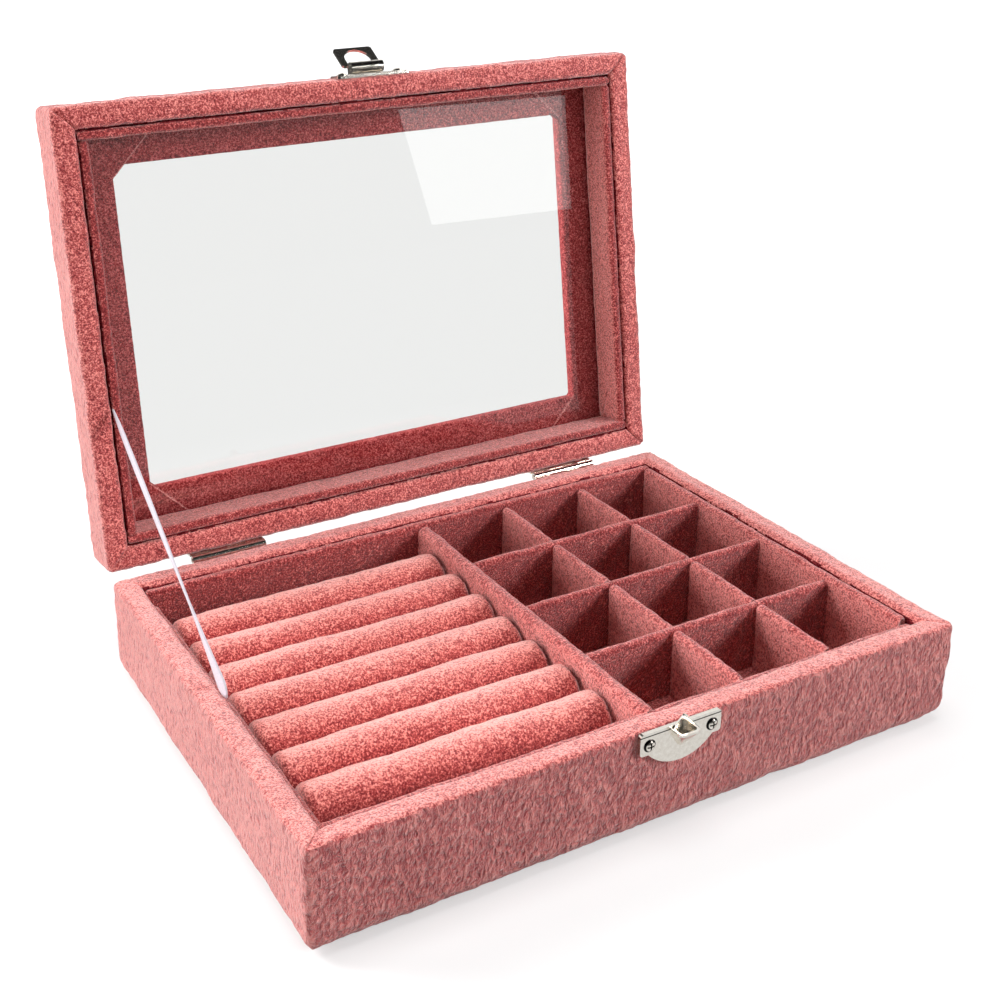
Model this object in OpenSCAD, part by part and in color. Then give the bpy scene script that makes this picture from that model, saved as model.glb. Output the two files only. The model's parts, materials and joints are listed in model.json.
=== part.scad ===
// Ring display box: a velvet-covered case with a glass lid, a bed of padded ring rolls,
// twelve small compartments, two pin hinges, a ribbon stay and a hook-over clasp.
// The lid stands open, and its pieces are drawn shut and then swung about the hinge line.

/* [Box] */
// Outside width, left to right
body_w = 200; // [180:1:230]
// Outside depth, front to back
body_d = 140; // [130:1:160]
// Height of the base, from the table to its rim
base_h = 31.3; // [29:0.1:40]
// Height of the lid, from its rim to its top
lid_h = 18.6; // [17:0.1:24]
// Gap between the two rims when the box is shut
seam_gap = 0.2; // [0.2:0.1:0.6]
// Angle from shut to where the ribbon stay holds the lid
open_angle = 98.3; // [90:0.1:105]

/* [Walls and velvet] */
// Thickness of the wall boards
board_t = 4.9; // [4:0.1:6]
// Thickness of the velvet with its pile
pile_t = 1.2; // [0.8:0.1:1.5]
// Thickness of the floor board
floor_t = 4; // [3:0.1:5]
// Rounding of the bottom edges outside
bottom_r = 6; // [4:0.5:7]
// Rounding of the lid's top edges outside
top_r = 3; // [2:0.5:4]
// Rounding of the upright corners
corner_r = 1.8; // [1.4:0.1:3]
// Rounding of the velvet over the rims
rim_r = 1.3; // [0.8:0.1:1.5]
// Rounding of the rims' inner edges
rim_in_r = 2.2; // [0.8:0.1:2.6]
// How far the velvet is turned in behind the linings
turn_in = 10; // [6:1:11]
// How far the velvet is turned under the floor
turn_under = 14; // [10:1:20]

/* [Linings] */
// Thickness of the covered lining strips
lining_t = 3.1; // [2.5:0.1:4]
// Groove between a rim and its lining
groove = 0.2; // [0.1:0.1:0.4]
// How far the right and back linings stand below the rim
base_lining_drop = 1.3; // [0.5:0.1:2.5]
// How far the front lining stands below the rim
front_lining_drop = 2.8; // [0.5:0.1:4]
// How far the left lining, at the ends of the rolls, stands below the rim
left_lining_drop = 5.8; // [0.5:0.1:7]
// How far the lid linings stand inside the rim
lid_lining_drop = 0.6; // [0.4:0.1:2]

/* [Window] */
// Width of the window opening
window_w = 159.6; // [140:0.2:162]
// Depth of the window opening, front to back
window_d = 101.4; // [90:0.2:103]
// Rounding of the window's corners
window_r = 1.5; // [1.5:0.5:6]
// How much of the window's front left corner the folded cloth cuts off
front_left_cut = 4; // [2:0.5:6]
// How much of the window's back left corner the folded cloth cuts off
back_left_cut = 2; // [2:0.5:6]
// Thickness of the glass pane
glass_t = 2; // [1.5:0.1:2.5]
// Thickness of the lid's top panel
panel_t = 2; // [1.6:0.1:2.4]
// Thickness of the velvet that frames the glass
trim_t = 0.8; // [0.5:0.1:1]

/* [Ring rolls] */
// Diameter of a roll
roll_d = 14.6; // [12:0.1:14.7]
// Rounding of the rolls' ends, where the cloth is tucked in
roll_end_r = 2.4; // [1:0.1:5]
// Distance from one roll to the next
roll_pitch = 14.8; // [14.7:0.1:15.2]
// How far the row of rolls sits behind the middle
roll_shift = 1.3; // [0:0.1:1.5]
// Height of the board that the rolls lie on
bed_top = 11.1; // [9:0.1:13]

/* [Compartments] */
// Left face of the centre divider
centre_left = -1; // [-4:0.1:2]
// Thickness of the centre divider
centre_t = 4.4; // [3.5:0.1:6]
// Thickness of the thin dividers
divider_t = 2.9; // [2:0.1:3.4]
// Height of the dividers' tops
divider_top = 28.8; // [24:0.1:29.5]
// Height of the compartments' floor
tray_top = 8; // [7:0.1:10]
// How much narrower the last column is than the others
last_column_less = 2.2; // [0:0.1:4]

/* [Hinges] */
// Places of the two hinges across the back
hinge_x = [-61.8, 63.4]; // [-80:0.1:80]
// Length of a hinge
hinge_len = 24.4; // [20:0.1:30]
// Outside radius of the knuckles
knuckle_r = 1.25; // [1.2:0.05:1.3]
// Radius of the hinge pins
hinge_pin_r = 0.6; // [0.5:0.05:0.7]
// Hinge line, behind the back face
hinge_back = 1.35; // [1.35:0.05:1.6]
// Hinge line, below the base rim
hinge_drop = 0.65; // [0.5:0.05:0.8]
// Thickness of a hinge leaf
leaf_t = 0.7; // [0.5:0.1:0.8]
// Height of a hinge leaf
leaf_h = 9.6; // [8:0.1:12]

/* [Clasp] */
// Middle of the clasp, right of the box's middle
clasp_x = 3.2; // [-5:0.1:5]
// Width of the clasp plates
plate_w = 25.4; // [24:0.1:28]
// Height of the clasp plates
plate_h = 10.8; // [10:0.1:12]
// Thickness of the catch plate
catch_t = 1.1; // [0.8:0.1:1.2]
// Thickness of the hasp plate
hasp_t = 0.9; // [0.7:0.1:1]
// Width of the catch's nose
nose_w = 6.8; // [6:0.1:7.5]
// How far the nose stands out from its plate
nose_out = 4.1; // [3.6:0.1:4.4]
// Distance of the hasp's pin above the lid rim
hasp_pivot = 6; // [5.5:0.1:7]
// Outside radius of the hasp's barrels
barrel_r = 1.9; // [1.7:0.05:2]
// Width of the loop plate
loop_w = 13.4; // [12:0.1:14]
// Length of the loop, from its pin to its end
loop_len = 11.2; // [10.8:0.1:12]
// Width of the hole in the loop
loop_hole = 9; // [8.4:0.1:9.4]
// How far the loop is swung up from its latched place
loop_raised = 141; // [0:1:170]

/* [Ribbon stay] */
// Width of the ribbon
ribbon_w = 3.4; // [2.5:0.1:5]
// Thickness of the ribbon
ribbon_t = 0.4; // [0.3:0.1:0.6]
// Where the ribbon leaves the base, behind the middle
ribbon_base_y = -5; // [-20:1:5]
// Where the ribbon leaves the lid, behind the middle when shut
ribbon_lid_y = 19.5; // [10:0.5:30]

/* [Hidden] */
$fn = 48;
EPS = 0.01;
rim_w = board_t + 2 * pile_t;
rim_x = body_w / 2 - rim_w;                      // inner face of the side rims
rim_y = body_d / 2 - rim_w;                      // inner face of the front and back rims
board_x = body_w / 2 - pile_t - board_t;         // inner face of the side boards
board_y = body_d / 2 - pile_t - board_t;         // inner face of the front and back boards
lining_x = rim_x - groove - lining_t;            // inner face of the side linings
lining_y = rim_y - groove - lining_t;            // inner face of the front and back linings
floor_top = pile_t + floor_t;
sheet_proud = 0.2;                               // the underside sheet below the velvet around it
base_lining_drops = [base_lining_drop, base_lining_drop, left_lining_drop, front_lining_drop];
lid_z = base_h + seam_gap;                       // height of the lid's rim when shut
glass_z = lid_z + lid_h - pile_t - panel_t - trim_t - glass_t;
trim_z = glass_z + glass_t;
panel_z = trim_z + trim_t;
hinge_y = body_d / 2 + hinge_back;
hinge_z = base_h - hinge_drop;
rolls = 7;
columns = 3;                                     // compartments across
rows = 4;                                        // compartments from front to back
knuckles = 4;                                    // on each hinge, turn about on the two leaves
knuckle_gap = 0.1;
knuckle_len = hinge_len / knuckles;
centre_right = centre_left + centre_t;
column_w = (lining_x - centre_right - (columns - 1) * divider_t + last_column_less) / columns;
row_d = (2 * lining_y - (rows - 1) * divider_t) / rows;
column_pitch = column_w + divider_t;
row_pitch = row_d + divider_t;
slot_w = divider_t + 0.1;                        // half-lap slots of the dividers
slot_z = (tray_top + divider_top) / 2;
front_y = -body_d / 2;
screw_r = 0.9;
screw_head_r = 1.8;
screw_len = 4.4;
screw_in = 2.9;                                  // clasp screws, in from the plate's ends
catch_top = base_h - 0.3;
catch_screw_z = catch_top - 3.6;
hasp_low = lid_z + 0.2;
hasp_screw_z = hasp_low + 3.6;
hasp_y = front_y - hasp_t - barrel_r - 0.05;     // the hasp's pin line
hasp_z = lid_z + hasp_pivot;
hasp_pin_r = 0.8;
barrel_len = 3.7;                                // each of the three barrels
barrel_gap = 0.1;
loop_t = 0.8;
nose_top = catch_top - 0.8;
nose_lip = 0.6;                                  // height of the tongue's upright edge
nose_wall = 0.75;
nose_corner = 1.8;
nose_foot = 1.4;                                 // radius of the scoop's foot
nose_drop = 5.6;                                 // from the tongue to the foot's lowest point
tab_t = 0.5;                                     // the tab between the nose and the hasp plate
side_drop = 6.3;                                 // straight sides of the clasp plates
leaf_screws = [-7.5, 7.5];                       // screws of a leaf, from its middle
ribbon_twist = 180;
ribbon_taper = 0.09;                             // share of the ribbon that narrows at each end
ribbon_rings = 31;

rose = [0.80, 0.47, 0.47];
rose_deep = [0.70, 0.36, 0.38];
board_tan = [0.72, 0.60, 0.45];
nickel = [0.82, 0.80, 0.76];

// ---------- Shapes that repeat ----------

// Outline of a wall section w wide and h high, with round low and high corners
module wall_outline(w, h, r_low, r_high) {
  for (side = [-1, 1]) {
    translate([side * (w / 2 - r_low), r_low]) circle(r_low);
    translate([side * (w / 2 - r_high), h - r_high]) circle(r_high);
  }
  translate([-w / 2, r_low]) square([w, h - r_low - r_high]);
  translate([-w / 2 + r_low, 0]) square([w - 2 * r_low, h / 2]);
  translate([-w / 2 + r_high, h / 2]) square([w - 2 * r_high, h / 2]);
}

// A rectangle w by d with round corners
module round_rect(w, d, r) {
  for (x = [-1, 1], y = [-1, 1])
    translate([x * (w / 2 - r), y * (d / 2 - r)]) circle(r);
  square([w - 2 * r, d], center = true);
  square([w, d - 2 * r], center = true);
}

// A box as cloth covers it: its edges are rounded along each side and mitred at the corners
module covered_box(w, d, h, r_side, r_low, r_high) {
  intersection() {
    rotate([90, 0, 0]) linear_extrude(d, center = true) wall_outline(w, h, r_low, r_high);
    rotate([90, 0, 90]) linear_extrude(w, center = true) wall_outline(d, h, r_low, r_high);
    linear_extrude(h) round_rect(w, d, r_side);
  }
}

// A block between two heights, centred on the box
module core(half_x, half_y, low, high) {
  translate([-half_x, -half_y, low]) cube([2 * half_x, 2 * half_y, high - low]);
}

// What is cut away to round the inner edge of a rim, along x, for a rim below it
module rim_cove(len, r) {
  rotate([90, 0, 90]) linear_extrude(len, center = true) difference() {
    translate([-1, -r]) square([r + 1, r + 1]);
    translate([r, -r]) circle(r);
  }
}

// The coves of the four inner rim edges; the rim's top is at height 0
module rim_coves() {
  for (turn = [0, 180]) {
    rotate([0, 0, turn]) translate([0, rim_y, 0]) rim_cove(2 * rim_x, rim_in_r);
    rotate([0, 0, 90 + turn]) translate([0, rim_x, 0]) rim_cove(2 * rim_y, rim_in_r);
  }
}

// A covered board standing along y: thickness t, round top edges of radius r
module covered_board(t, len, low, high, r) {
  rotate([90, 0, 0]) linear_extrude(len, center = true) {
    translate([-t / 2, low]) square([t, high - low - r]);
    translate([-t / 2 + r, low]) square([t - 2 * r, high - low]);
    for (side = [-1, 1]) translate([side * (t / 2 - r), high - r]) circle(r);
  }
}

// A lining strip along side k of the box: 0 right, 1 back, 2 left, 3 front
module lining_strip(k, low, high) {
  along_y = k % 2 == 0;
  len = along_y ? 2 * lining_y : 2 * (lining_x + lining_t);
  out = (along_y ? lining_x : lining_y) + lining_t / 2;
  rotate([0, 0, 90 * k]) translate([out, 0, 0]) covered_board(lining_t, len, low, high, 1.2);
}

// Swings what is drawn shut to where the open lid stands
module as_opened() {
  translate([0, hinge_y, hinge_z]) rotate([-open_angle, 0, 0])
    translate([0, -hinge_y, -hinge_z]) children();
}

// Swings what is drawn latched to where the loop is raised
module as_raised() {
  translate([0, hasp_y, hasp_z]) rotate([-loop_raised, 0, 0])
    translate([0, -hasp_y, -hasp_z]) children();
}

// ---------- Carcass and velvet of the base ----------

module base_envelope() {
  translate([0, 0, pile_t])
    covered_box(body_w - 2 * pile_t, body_d - 2 * pile_t, base_h - 2 * pile_t,
                corner_r, bottom_r - pile_t, rim_r);
}

// Side k of the carcass; the front and back boards run the full width
module base_board(k) {
  along_x = k % 2 == 1;
  out = (along_x ? board_y : board_x);
  len = along_x ? body_w : 2 * board_y;
  intersection() {
    base_envelope();
    rotate([0, 0, 90 * k]) translate([out, -len / 2, 0]) cube([board_t, len, base_h]);
  }
}

module screw_bores(places, height, r, y_from, y_to) {
  for (x = places) translate([x, y_from, height]) rotate([-90, 0, 0]) cylinder(r = r, h = y_to - y_from);
}

clasp_screw_x = [clasp_x - plate_w / 2 + screw_in, clasp_x + plate_w / 2 - screw_in];
hinge_screw_x = [for (hx = hinge_x, sx = leaf_screws) hx + sx];
base_leaf_screw_z = hinge_z - leaf_h + 2.8;
lid_leaf_screw_z = hinge_z + leaf_h - 2.8;

module base_front_board() {
  color(board_tan) difference() {
    base_board(3);
    screw_bores(clasp_screw_x, catch_screw_z, screw_r, front_y, front_y + screw_len);
  }
}

module base_back_board() {
  color(board_tan) difference() {
    base_board(1);
    screw_bores(hinge_screw_x, base_leaf_screw_z, screw_r, body_d / 2 - screw_len, body_d / 2);
  }
}

module base_left_board() { color(board_tan) base_board(2); }
module base_right_board() { color(board_tan) base_board(0); }

module floor_board() {
  color(board_tan) core(board_x, board_y, pile_t, floor_top);
}

module base_velvet() {
  skin_low = base_h - turn_in;
  under_x = body_w / 2 - turn_under;
  under_y = body_d / 2 - turn_under;
  color(rose) difference() {
    translate([0, 0, sheet_proud])
      covered_box(body_w, body_d, base_h - sheet_proud, corner_r, bottom_r, rim_r);
    difference() {
      base_envelope();
      core(board_x, board_y, skin_low, base_h);
    }
    core(rim_x, rim_y, skin_low - EPS, base_h + 1);
    core(under_x, under_y, -1, pile_t + EPS);
    translate([0, 0, base_h]) rim_coves();
    screw_bores(clasp_screw_x, catch_screw_z, screw_r, front_y - 1, front_y + screw_len);
    screw_bores(hinge_screw_x, base_leaf_screw_z, screw_r, body_d / 2 - screw_len, body_d / 2 + 1);
  }
}

module underside_sheet() {
  color(rose_deep) core(body_w / 2 - turn_under, body_d / 2 - turn_under, 0, pile_t);
}

// ---------- Linings, rolls and compartments ----------

module base_lining(k) { color(rose) lining_strip(k, floor_top, base_h - base_lining_drops[k]); }
module base_right_lining() { base_lining(0); }
module base_back_lining() { base_lining(1); }
module base_left_lining() { base_lining(2); }
module base_front_lining() { base_lining(3); }

module ring_bed() {
  color(rose_deep) translate([-lining_x, -lining_y, floor_top])
    cube([centre_left + lining_x, 2 * lining_y, bed_top - floor_top]);
}

// Roll k, counted from the back
// Half of a roll cut along its length, with the roll's axis on y
module roll_section(length) {
  for (y = [roll_end_r, length - roll_end_r])
    translate([roll_d / 2 - roll_end_r, y]) circle(roll_end_r);
  translate([0, roll_end_r]) square([roll_d / 2, length - 2 * roll_end_r]);
  square([roll_d / 2 - roll_end_r, length]);
}

module ring_roll(k) {
  y = roll_shift + (rolls - 1) / 2 * roll_pitch - (k - 1) * roll_pitch;
  color(rose) translate([-lining_x, y, bed_top + roll_d / 2]) rotate([0, 90, 0])
    rotate_extrude() roll_section(centre_left + lining_x);
}
module ring_roll_1() { ring_roll(1); }
module ring_roll_2() { ring_roll(2); }
module ring_roll_3() { ring_roll(3); }
module ring_roll_4() { ring_roll(4); }
module ring_roll_5() { ring_roll(5); }
module ring_roll_6() { ring_roll(6); }
module ring_roll_7() { ring_roll(7); }

module centre_divider() {
  color(rose) translate([centre_left + centre_t / 2, 0, 0])
    covered_board(centre_t, 2 * lining_y, floor_top, divider_top + 0.3, 2.1);
}

function column_x(k) = centre_right + k * column_pitch - divider_t / 2;
function row_y(k) = lining_y - k * row_pitch + divider_t / 2;

// A divider from front to back, notched from below where it crosses the others
module long_divider(k) {
  color(rose) difference() {
    translate([column_x(k), 0, 0])
      covered_board(divider_t, 2 * lining_y, tray_top, divider_top, 1.3);
    for (m = [1 : rows - 1])
      translate([column_x(k) - divider_t, row_y(m) - slot_w / 2, tray_top - 1])
        cube([2 * divider_t, slot_w, slot_z - tray_top + 1]);
  }
}
module long_divider_1() { long_divider(1); }
module long_divider_2() { long_divider(2); }

// A divider from side to side, notched from above where it crosses the others
module cross_divider(k) {
  len = lining_x - centre_right;
  color(rose) difference() {
    translate([centre_right + len / 2, row_y(k), 0]) rotate([0, 0, 90])
      covered_board(divider_t, len, tray_top, divider_top, 1.3);
    for (m = [1 : columns - 1])
      translate([column_x(m) - slot_w / 2, row_y(k) - divider_t, slot_z])
        cube([slot_w, 2 * divider_t, divider_top]);
  }
}
module cross_divider_1() { cross_divider(1); }
module cross_divider_2() { cross_divider(2); }
module cross_divider_3() { cross_divider(3); }

module tray_floor() {
  color(rose_deep) translate([centre_right, -lining_y, floor_top])
    cube([lining_x - centre_right, 2 * lining_y, tray_top - floor_top]);
}

// ---------- Hinges ----------

// One leaf with its knuckles, for a plate that points up (way 1) or down (way -1)
module hinge_leaf(hx, way, first, bore_r) {
  plate_low = knuckle_r + 0.25;
  color(nickel) translate([hx - hinge_len / 2, hinge_y, hinge_z]) difference() {
    union() {
      translate([0, -hinge_back, way > 0 ? plate_low : -leaf_h])
        cube([hinge_len, leaf_t, leaf_h - plate_low]);
      for (k = [first : 2 : knuckles - 1]) translate([k * knuckle_len + knuckle_gap / 2, 0, 0]) {
        rotate([0, 90, 0]) cylinder(r = knuckle_r, h = knuckle_len - knuckle_gap);
        translate([0, -hinge_back, way > 0 ? 0 : -plate_low - EPS])
          cube([knuckle_len - knuckle_gap, leaf_t, plate_low + EPS]);
      }
    }
    translate([-1, 0, 0]) rotate([0, 90, 0]) cylinder(r = bore_r, h = hinge_len + 2);
    for (sx = leaf_screws)
      translate([hinge_len / 2 + sx, -hinge_back - 1, way * (leaf_h - 2.8)])
        rotate([-90, 0, 0]) cylinder(r = screw_r, h = 3);
  }
}
module hinge_base_leaf_left() { hinge_leaf(hinge_x[0], -1, 0, hinge_pin_r); }
module hinge_base_leaf_right() { hinge_leaf(hinge_x[1], -1, 0, hinge_pin_r); }
module hinge_lid_leaf_left() { as_opened() hinge_leaf(hinge_x[0], 1, 1, hinge_pin_r + 0.05); }
module hinge_lid_leaf_right() { as_opened() hinge_leaf(hinge_x[1], 1, 1, hinge_pin_r + 0.05); }

module hinge_pins() {
  color(nickel) for (hx = hinge_x)
    translate([hx - hinge_len / 2 - 0.2, hinge_y, hinge_z]) rotate([0, 90, 0])
      cylinder(r = hinge_pin_r, h = hinge_len + 0.4);
}

// A round-head screw with a cross slot, its head at height 0 and its shank below
module screw(len, head_h = 0.8) {
  difference() {
    union() {
      intersection() {
        cylinder(r = screw_head_r, h = head_h);
        translate([0, 0, head_h - 2.6]) sphere(2.6, $fn = 32);
      }
      translate([0, 0, -len]) cylinder(r = screw_r, h = len);
    }
    for (turn = [0, 90]) rotate([0, 0, turn])
      translate([-1.1, -0.22, head_h - 0.45]) cube([2.2, 0.44, 1]);
  }
}

module hinge_base_screws() {
  color(nickel) for (x = hinge_screw_x)
    translate([x, body_d / 2 + leaf_t, base_leaf_screw_z]) rotate([-90, 0, 0]) screw(screw_len);
}

module hinge_lid_screws() {
  as_opened() color(nickel) for (x = hinge_screw_x)
    translate([x, body_d / 2 + leaf_t, lid_leaf_screw_z]) rotate([-90, 0, 0]) screw(screw_len);
}

// ---------- Clasp ----------

// Outline of a clasp plate hanging from height 0: straight sides, small shoulders, round belly
module clasp_outline() {
  belly_half = plate_w / 2 - 2.4;
  belly_drop = plate_h - side_drop + 0.3;
  belly_r = (pow(belly_half, 2) + pow(belly_drop, 2)) / (2 * belly_drop);
  translate([0, -side_drop / 2]) round_rect(plate_w, side_drop, 1);
  intersection() {
    translate([0, belly_r - plate_h]) circle(belly_r, $fn = 96);
    translate([-belly_half, -plate_h]) square([2 * belly_half, plate_h - 1]);
  }
}

// Plan of the nose, a tongue with two round corners standing out from the plate's face
module nose_tongue(w, out, r) {
  for (side = [-1, 1]) translate([side * (w / 2 - r), r - out]) circle(r, $fn = 32);
  translate([-w / 2, r - out]) square([w, out - r]);
  translate([r - w / 2, -out]) square([w - 2 * r, out]);
}

// The pressed scoop: its tongue at the top runs down to a small foot on the plate.
// wall is taken off all round, and the tongue is drawn rise above height 0
module nose_form(wall, rise) {
  hull() {
    translate([0, 0, -nose_lip])
      linear_extrude(nose_lip + rise) nose_tongue(nose_w - 2 * wall, nose_out - wall, nose_corner - wall);
    translate([0, EPS, nose_foot - nose_drop]) rotate([90, 0, 0])
      cylinder(r = nose_foot - wall, h = 0.3, $fn = 32);
  }
}

module catch_plate() {
  face_y = front_y - catch_t;
  tab_y = min(face_y, front_y - hasp_t - 0.2) + 0.1;
  color(nickel) difference() {
    union() {
      translate([clasp_x, front_y, catch_top]) rotate([90, 0, 0]) linear_extrude(catch_t) clasp_outline();
      difference() {
        translate([clasp_x, face_y, nose_top]) nose_form(0, 0);
        translate([clasp_x, face_y - EPS, nose_top]) nose_form(nose_wall, 1);
      }
      translate([clasp_x, tab_y, catch_top]) rotate([90, 0, 0]) linear_extrude(tab_t) hull() {
        translate([0.6, 1.5]) circle(0.9, $fn = 32);
        translate([-nose_w / 2 + 0.3, -2]) square([nose_w - 0.6, 1]);
      }
    }
    screw_bores(clasp_screw_x, catch_screw_z, screw_r, face_y - 1, front_y + 1);
  }
}

module catch_screws() {
  color(nickel) for (x = clasp_screw_x)
    translate([x, front_y - catch_t, catch_screw_z]) rotate([90, 0, 0]) screw(screw_len);
}

module hasp_plate() {
  span = 3 * barrel_len;
  as_opened() color(nickel) difference() {
    union() {
      translate([clasp_x, front_y, hasp_low]) mirror([0, 0, 1]) rotate([90, 0, 0])
        linear_extrude(hasp_t) clasp_outline();
      for (side = [-1, 1]) translate([clasp_x + side * (barrel_len + barrel_gap / 2), 0, 0])
        mirror([side < 0 ? 1 : 0, 0, 0]) {
          translate([-barrel_len / 2 + barrel_gap, hasp_y, hasp_z]) rotate([0, 90, 0])
            cylinder(r = barrel_r, h = barrel_len - barrel_gap);
          translate([-barrel_len / 2 + barrel_gap, hasp_y, hasp_z])
            cube([barrel_len - barrel_gap, front_y - hasp_t - hasp_y + EPS, barrel_r]);
        }
    }
    translate([clasp_x - span, hasp_y, hasp_z]) rotate([0, 90, 0]) cylinder(r = hasp_pin_r, h = 2 * span);
    screw_bores(clasp_screw_x, hasp_screw_z, screw_r, front_y - hasp_t - 1, front_y + 1);
  }
}

module hasp_pin() {
  span = 3 * barrel_len + 0.5;
  as_opened() color(nickel) translate([clasp_x - span / 2, hasp_y, hasp_z]) rotate([0, 90, 0])
    cylinder(r = hasp_pin_r, h = span);
}

module hasp_screws() {
  as_opened() color(nickel) for (x = clasp_screw_x)
    translate([x, front_y - hasp_t, hasp_screw_z]) rotate([90, 0, 0]) screw(screw_len);
}

// Outline of the loop hanging from its pin at height 0, with its arched hole and its neck
module loop_outline(neck_w) {
  frame_top = -barrel_r - 0.4;
  bar = 1.15;
  hole_r = loop_hole / 2;
  hole_low = bar - loop_len;
  arch_y = hole_low + hole_r;
  translate([-neck_w / 2, frame_top - bar / 2]) square([neck_w, bar / 2 - frame_top]);
  difference() {
    translate([0, (frame_top - loop_len) / 2]) round_rect(loop_w, loop_len + frame_top, 0.9);
    intersection() {
      translate([0, arch_y]) circle(hole_r);
      translate([-hole_r, hole_low]) square([loop_hole, hole_r]);
    }
    translate([-hole_r, arch_y - 0.01]) square([loop_hole, frame_top - bar - arch_y + 0.01]);
  }
}

module hasp_loop() {
  len = barrel_len - 2 * barrel_gap;
  as_opened() as_raised() color(nickel) translate([clasp_x, hasp_y, hasp_z]) {
    difference() {
      union() {
        translate([0, -barrel_r + loop_t, 0]) rotate([90, 0, 0]) linear_extrude(loop_t) loop_outline(len);
        translate([-len / 2, 0, 0]) rotate([0, 90, 0]) cylinder(r = barrel_r, h = len);
      }
      translate([-len, 0, 0]) rotate([0, 90, 0]) cylinder(r = hasp_pin_r + 0.05, h = 2 * len);
    }
  }
}

// ---------- Lid, drawn shut ----------

module lid_envelope() {
  translate([0, 0, lid_z + pile_t])
    covered_box(body_w - 2 * pile_t, body_d - 2 * pile_t, lid_h - 2 * pile_t,
                corner_r, rim_r, top_r - pile_t);
}

module lid_board(k) {
  along_x = k % 2 == 1;
  out = (along_x ? board_y : board_x);
  len = along_x ? body_w : 2 * board_y;
  intersection() {
    lid_envelope();
    rotate([0, 0, 90 * k]) translate([out, -len / 2, lid_z])
      cube([board_t, len, panel_z - lid_z]);
  }
}

module lid_front_board() {
  as_opened() color(board_tan) difference() {
    lid_board(3);
    screw_bores(clasp_screw_x, hasp_screw_z, screw_r, front_y, front_y + screw_len);
  }
}

module lid_back_board() {
  as_opened() color(board_tan) difference() {
    lid_board(1);
    screw_bores(hinge_screw_x, lid_leaf_screw_z, screw_r, body_d / 2 - screw_len, body_d / 2);
  }
}

module lid_left_board() { as_opened() color(board_tan) lid_board(2); }
module lid_right_board() { as_opened() color(board_tan) lid_board(0); }

module window_hole(grow, low, high) {
  translate([0, 0, low]) linear_extrude(high - low)
    round_rect(window_w + 2 * grow, window_d + 2 * grow, window_r + grow);
}

module lid_panel() {
  as_opened() color(board_tan) difference() {
    intersection() {
      lid_envelope();
      core(body_w / 2, body_d / 2, panel_z, panel_z + panel_t + 1);
    }
    window_hole(trim_t, panel_z - 1, panel_z + panel_t + 2);
  }
}

module lid_velvet() {
  skin_high = lid_z + turn_in;
  as_opened() color(rose) difference() {
    translate([0, 0, lid_z]) covered_box(body_w, body_d, lid_h, corner_r, rim_r, top_r);
    difference() {
      lid_envelope();
      core(board_x, board_y, lid_z, skin_high);
    }
    core(rim_x, rim_y, lid_z - 1, skin_high + EPS);
    window_hole(0, lid_z, lid_z + lid_h + 1);
    translate([0, 0, lid_z]) mirror([0, 0, 1]) rim_coves();
    screw_bores(clasp_screw_x, hasp_screw_z, screw_r, front_y - 1, front_y + screw_len);
    screw_bores(hinge_screw_x, lid_leaf_screw_z, screw_r, body_d / 2 - screw_len, body_d / 2 + 1);
  }
}

// The end of a side strip, folded across the window's corner on the left at the front or back
module corner_fold(side, cut) {
  lap = 1;
  x = window_w / 2;
  y = window_d / 2;
  translate([0, 0, trim_z]) linear_extrude(trim_t)
    polygon([[-x - lap, side * (y - cut)], [-x, side * (y - cut)], [-x + cut, side * y],
             [-x + cut, side * (y + lap)], [-x - lap, side * (y + lap)]]);
}

// The velvet that frames the glass inside and is turned up round the window's edge
module window_trim() {
  as_opened() color(rose_deep) {
    difference() {
      union() {
        core(board_x, board_y, trim_z, panel_z);
        window_hole(trim_t, panel_z, panel_z + panel_t);
      }
      window_hole(0, trim_z - 1, panel_z + panel_t + 1);
    }
    corner_fold(-1, front_left_cut);
    corner_fold(1, back_left_cut);
  }
}

module window_glass() {
  as_opened() color([0.85, 0.92, 0.92], 0.35) core(board_x - 0.5, board_y - 0.5, glass_z, trim_z);
}

module lid_lining(k) {
  as_opened() color(rose) translate([0, 0, glass_z]) mirror([0, 0, 1])
    lining_strip(k, 0, glass_z - lid_z - lid_lining_drop);
}
module lid_right_lining() { lid_lining(0); }
module lid_back_lining() { lid_lining(1); }
module lid_left_lining() { lid_lining(2); }
module lid_front_lining() { lid_lining(3); }

// ---------- Ribbon stay ----------

// Where a point of the shut lid is when the lid stands open, as [x, y, z]
function opened(p) =
  let (dy = p[1] - hinge_y, dz = p[2] - hinge_z)
  [p[0], hinge_y + dy * cos(open_angle) + dz * sin(open_angle),
   hinge_z - dy * sin(open_angle) + dz * cos(open_angle)];

// The four corners of the ribbon's section at share t of its run, narrow where it enters a groove
function ribbon_ring(t, foot, run) =
  let (along = run / norm(run),
       side = [1, 0, 0],
       up = cross(along, side),
       turn = ribbon_twist * t,
       grown = min(1, min(t, 1 - t) / ribbon_taper),
       half_w = ribbon_w / 2 * (0.2 + 0.8 * sin(90 * grown)),
       wide = half_w * (cos(turn) * up + sin(turn) * side),
       thick = ribbon_t / 2 * (cos(turn) * side - sin(turn) * up),
       middle = foot + t * run)
  [middle - wide - thick, middle + wide - thick, middle + wide + thick, middle - wide + thick];

// A taut ribbon with half a twist, from the base's left groove to the lid's
module ribbon_stay() {
  foot = [-rim_x + 0.1, ribbon_base_y, base_h - 0.6];
  run = opened([-rim_x + 0.1, ribbon_lid_y, lid_z - 0.5]) - foot;
  last = ribbon_rings - 1;
  points = [for (k = [0 : last]) each ribbon_ring(k / last, foot, run)];
  sides = [for (k = [0 : last - 1], m = [0 : 3])
    let (a = 4 * k + m, b = 4 * k + (m + 1) % 4) [a, b, b + 4, a + 4]];
  color("white") polyhedron(points, concat([[3, 2, 1, 0]], sides, [[for (m = [0 : 3]) 4 * last + m]]));
}

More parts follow.
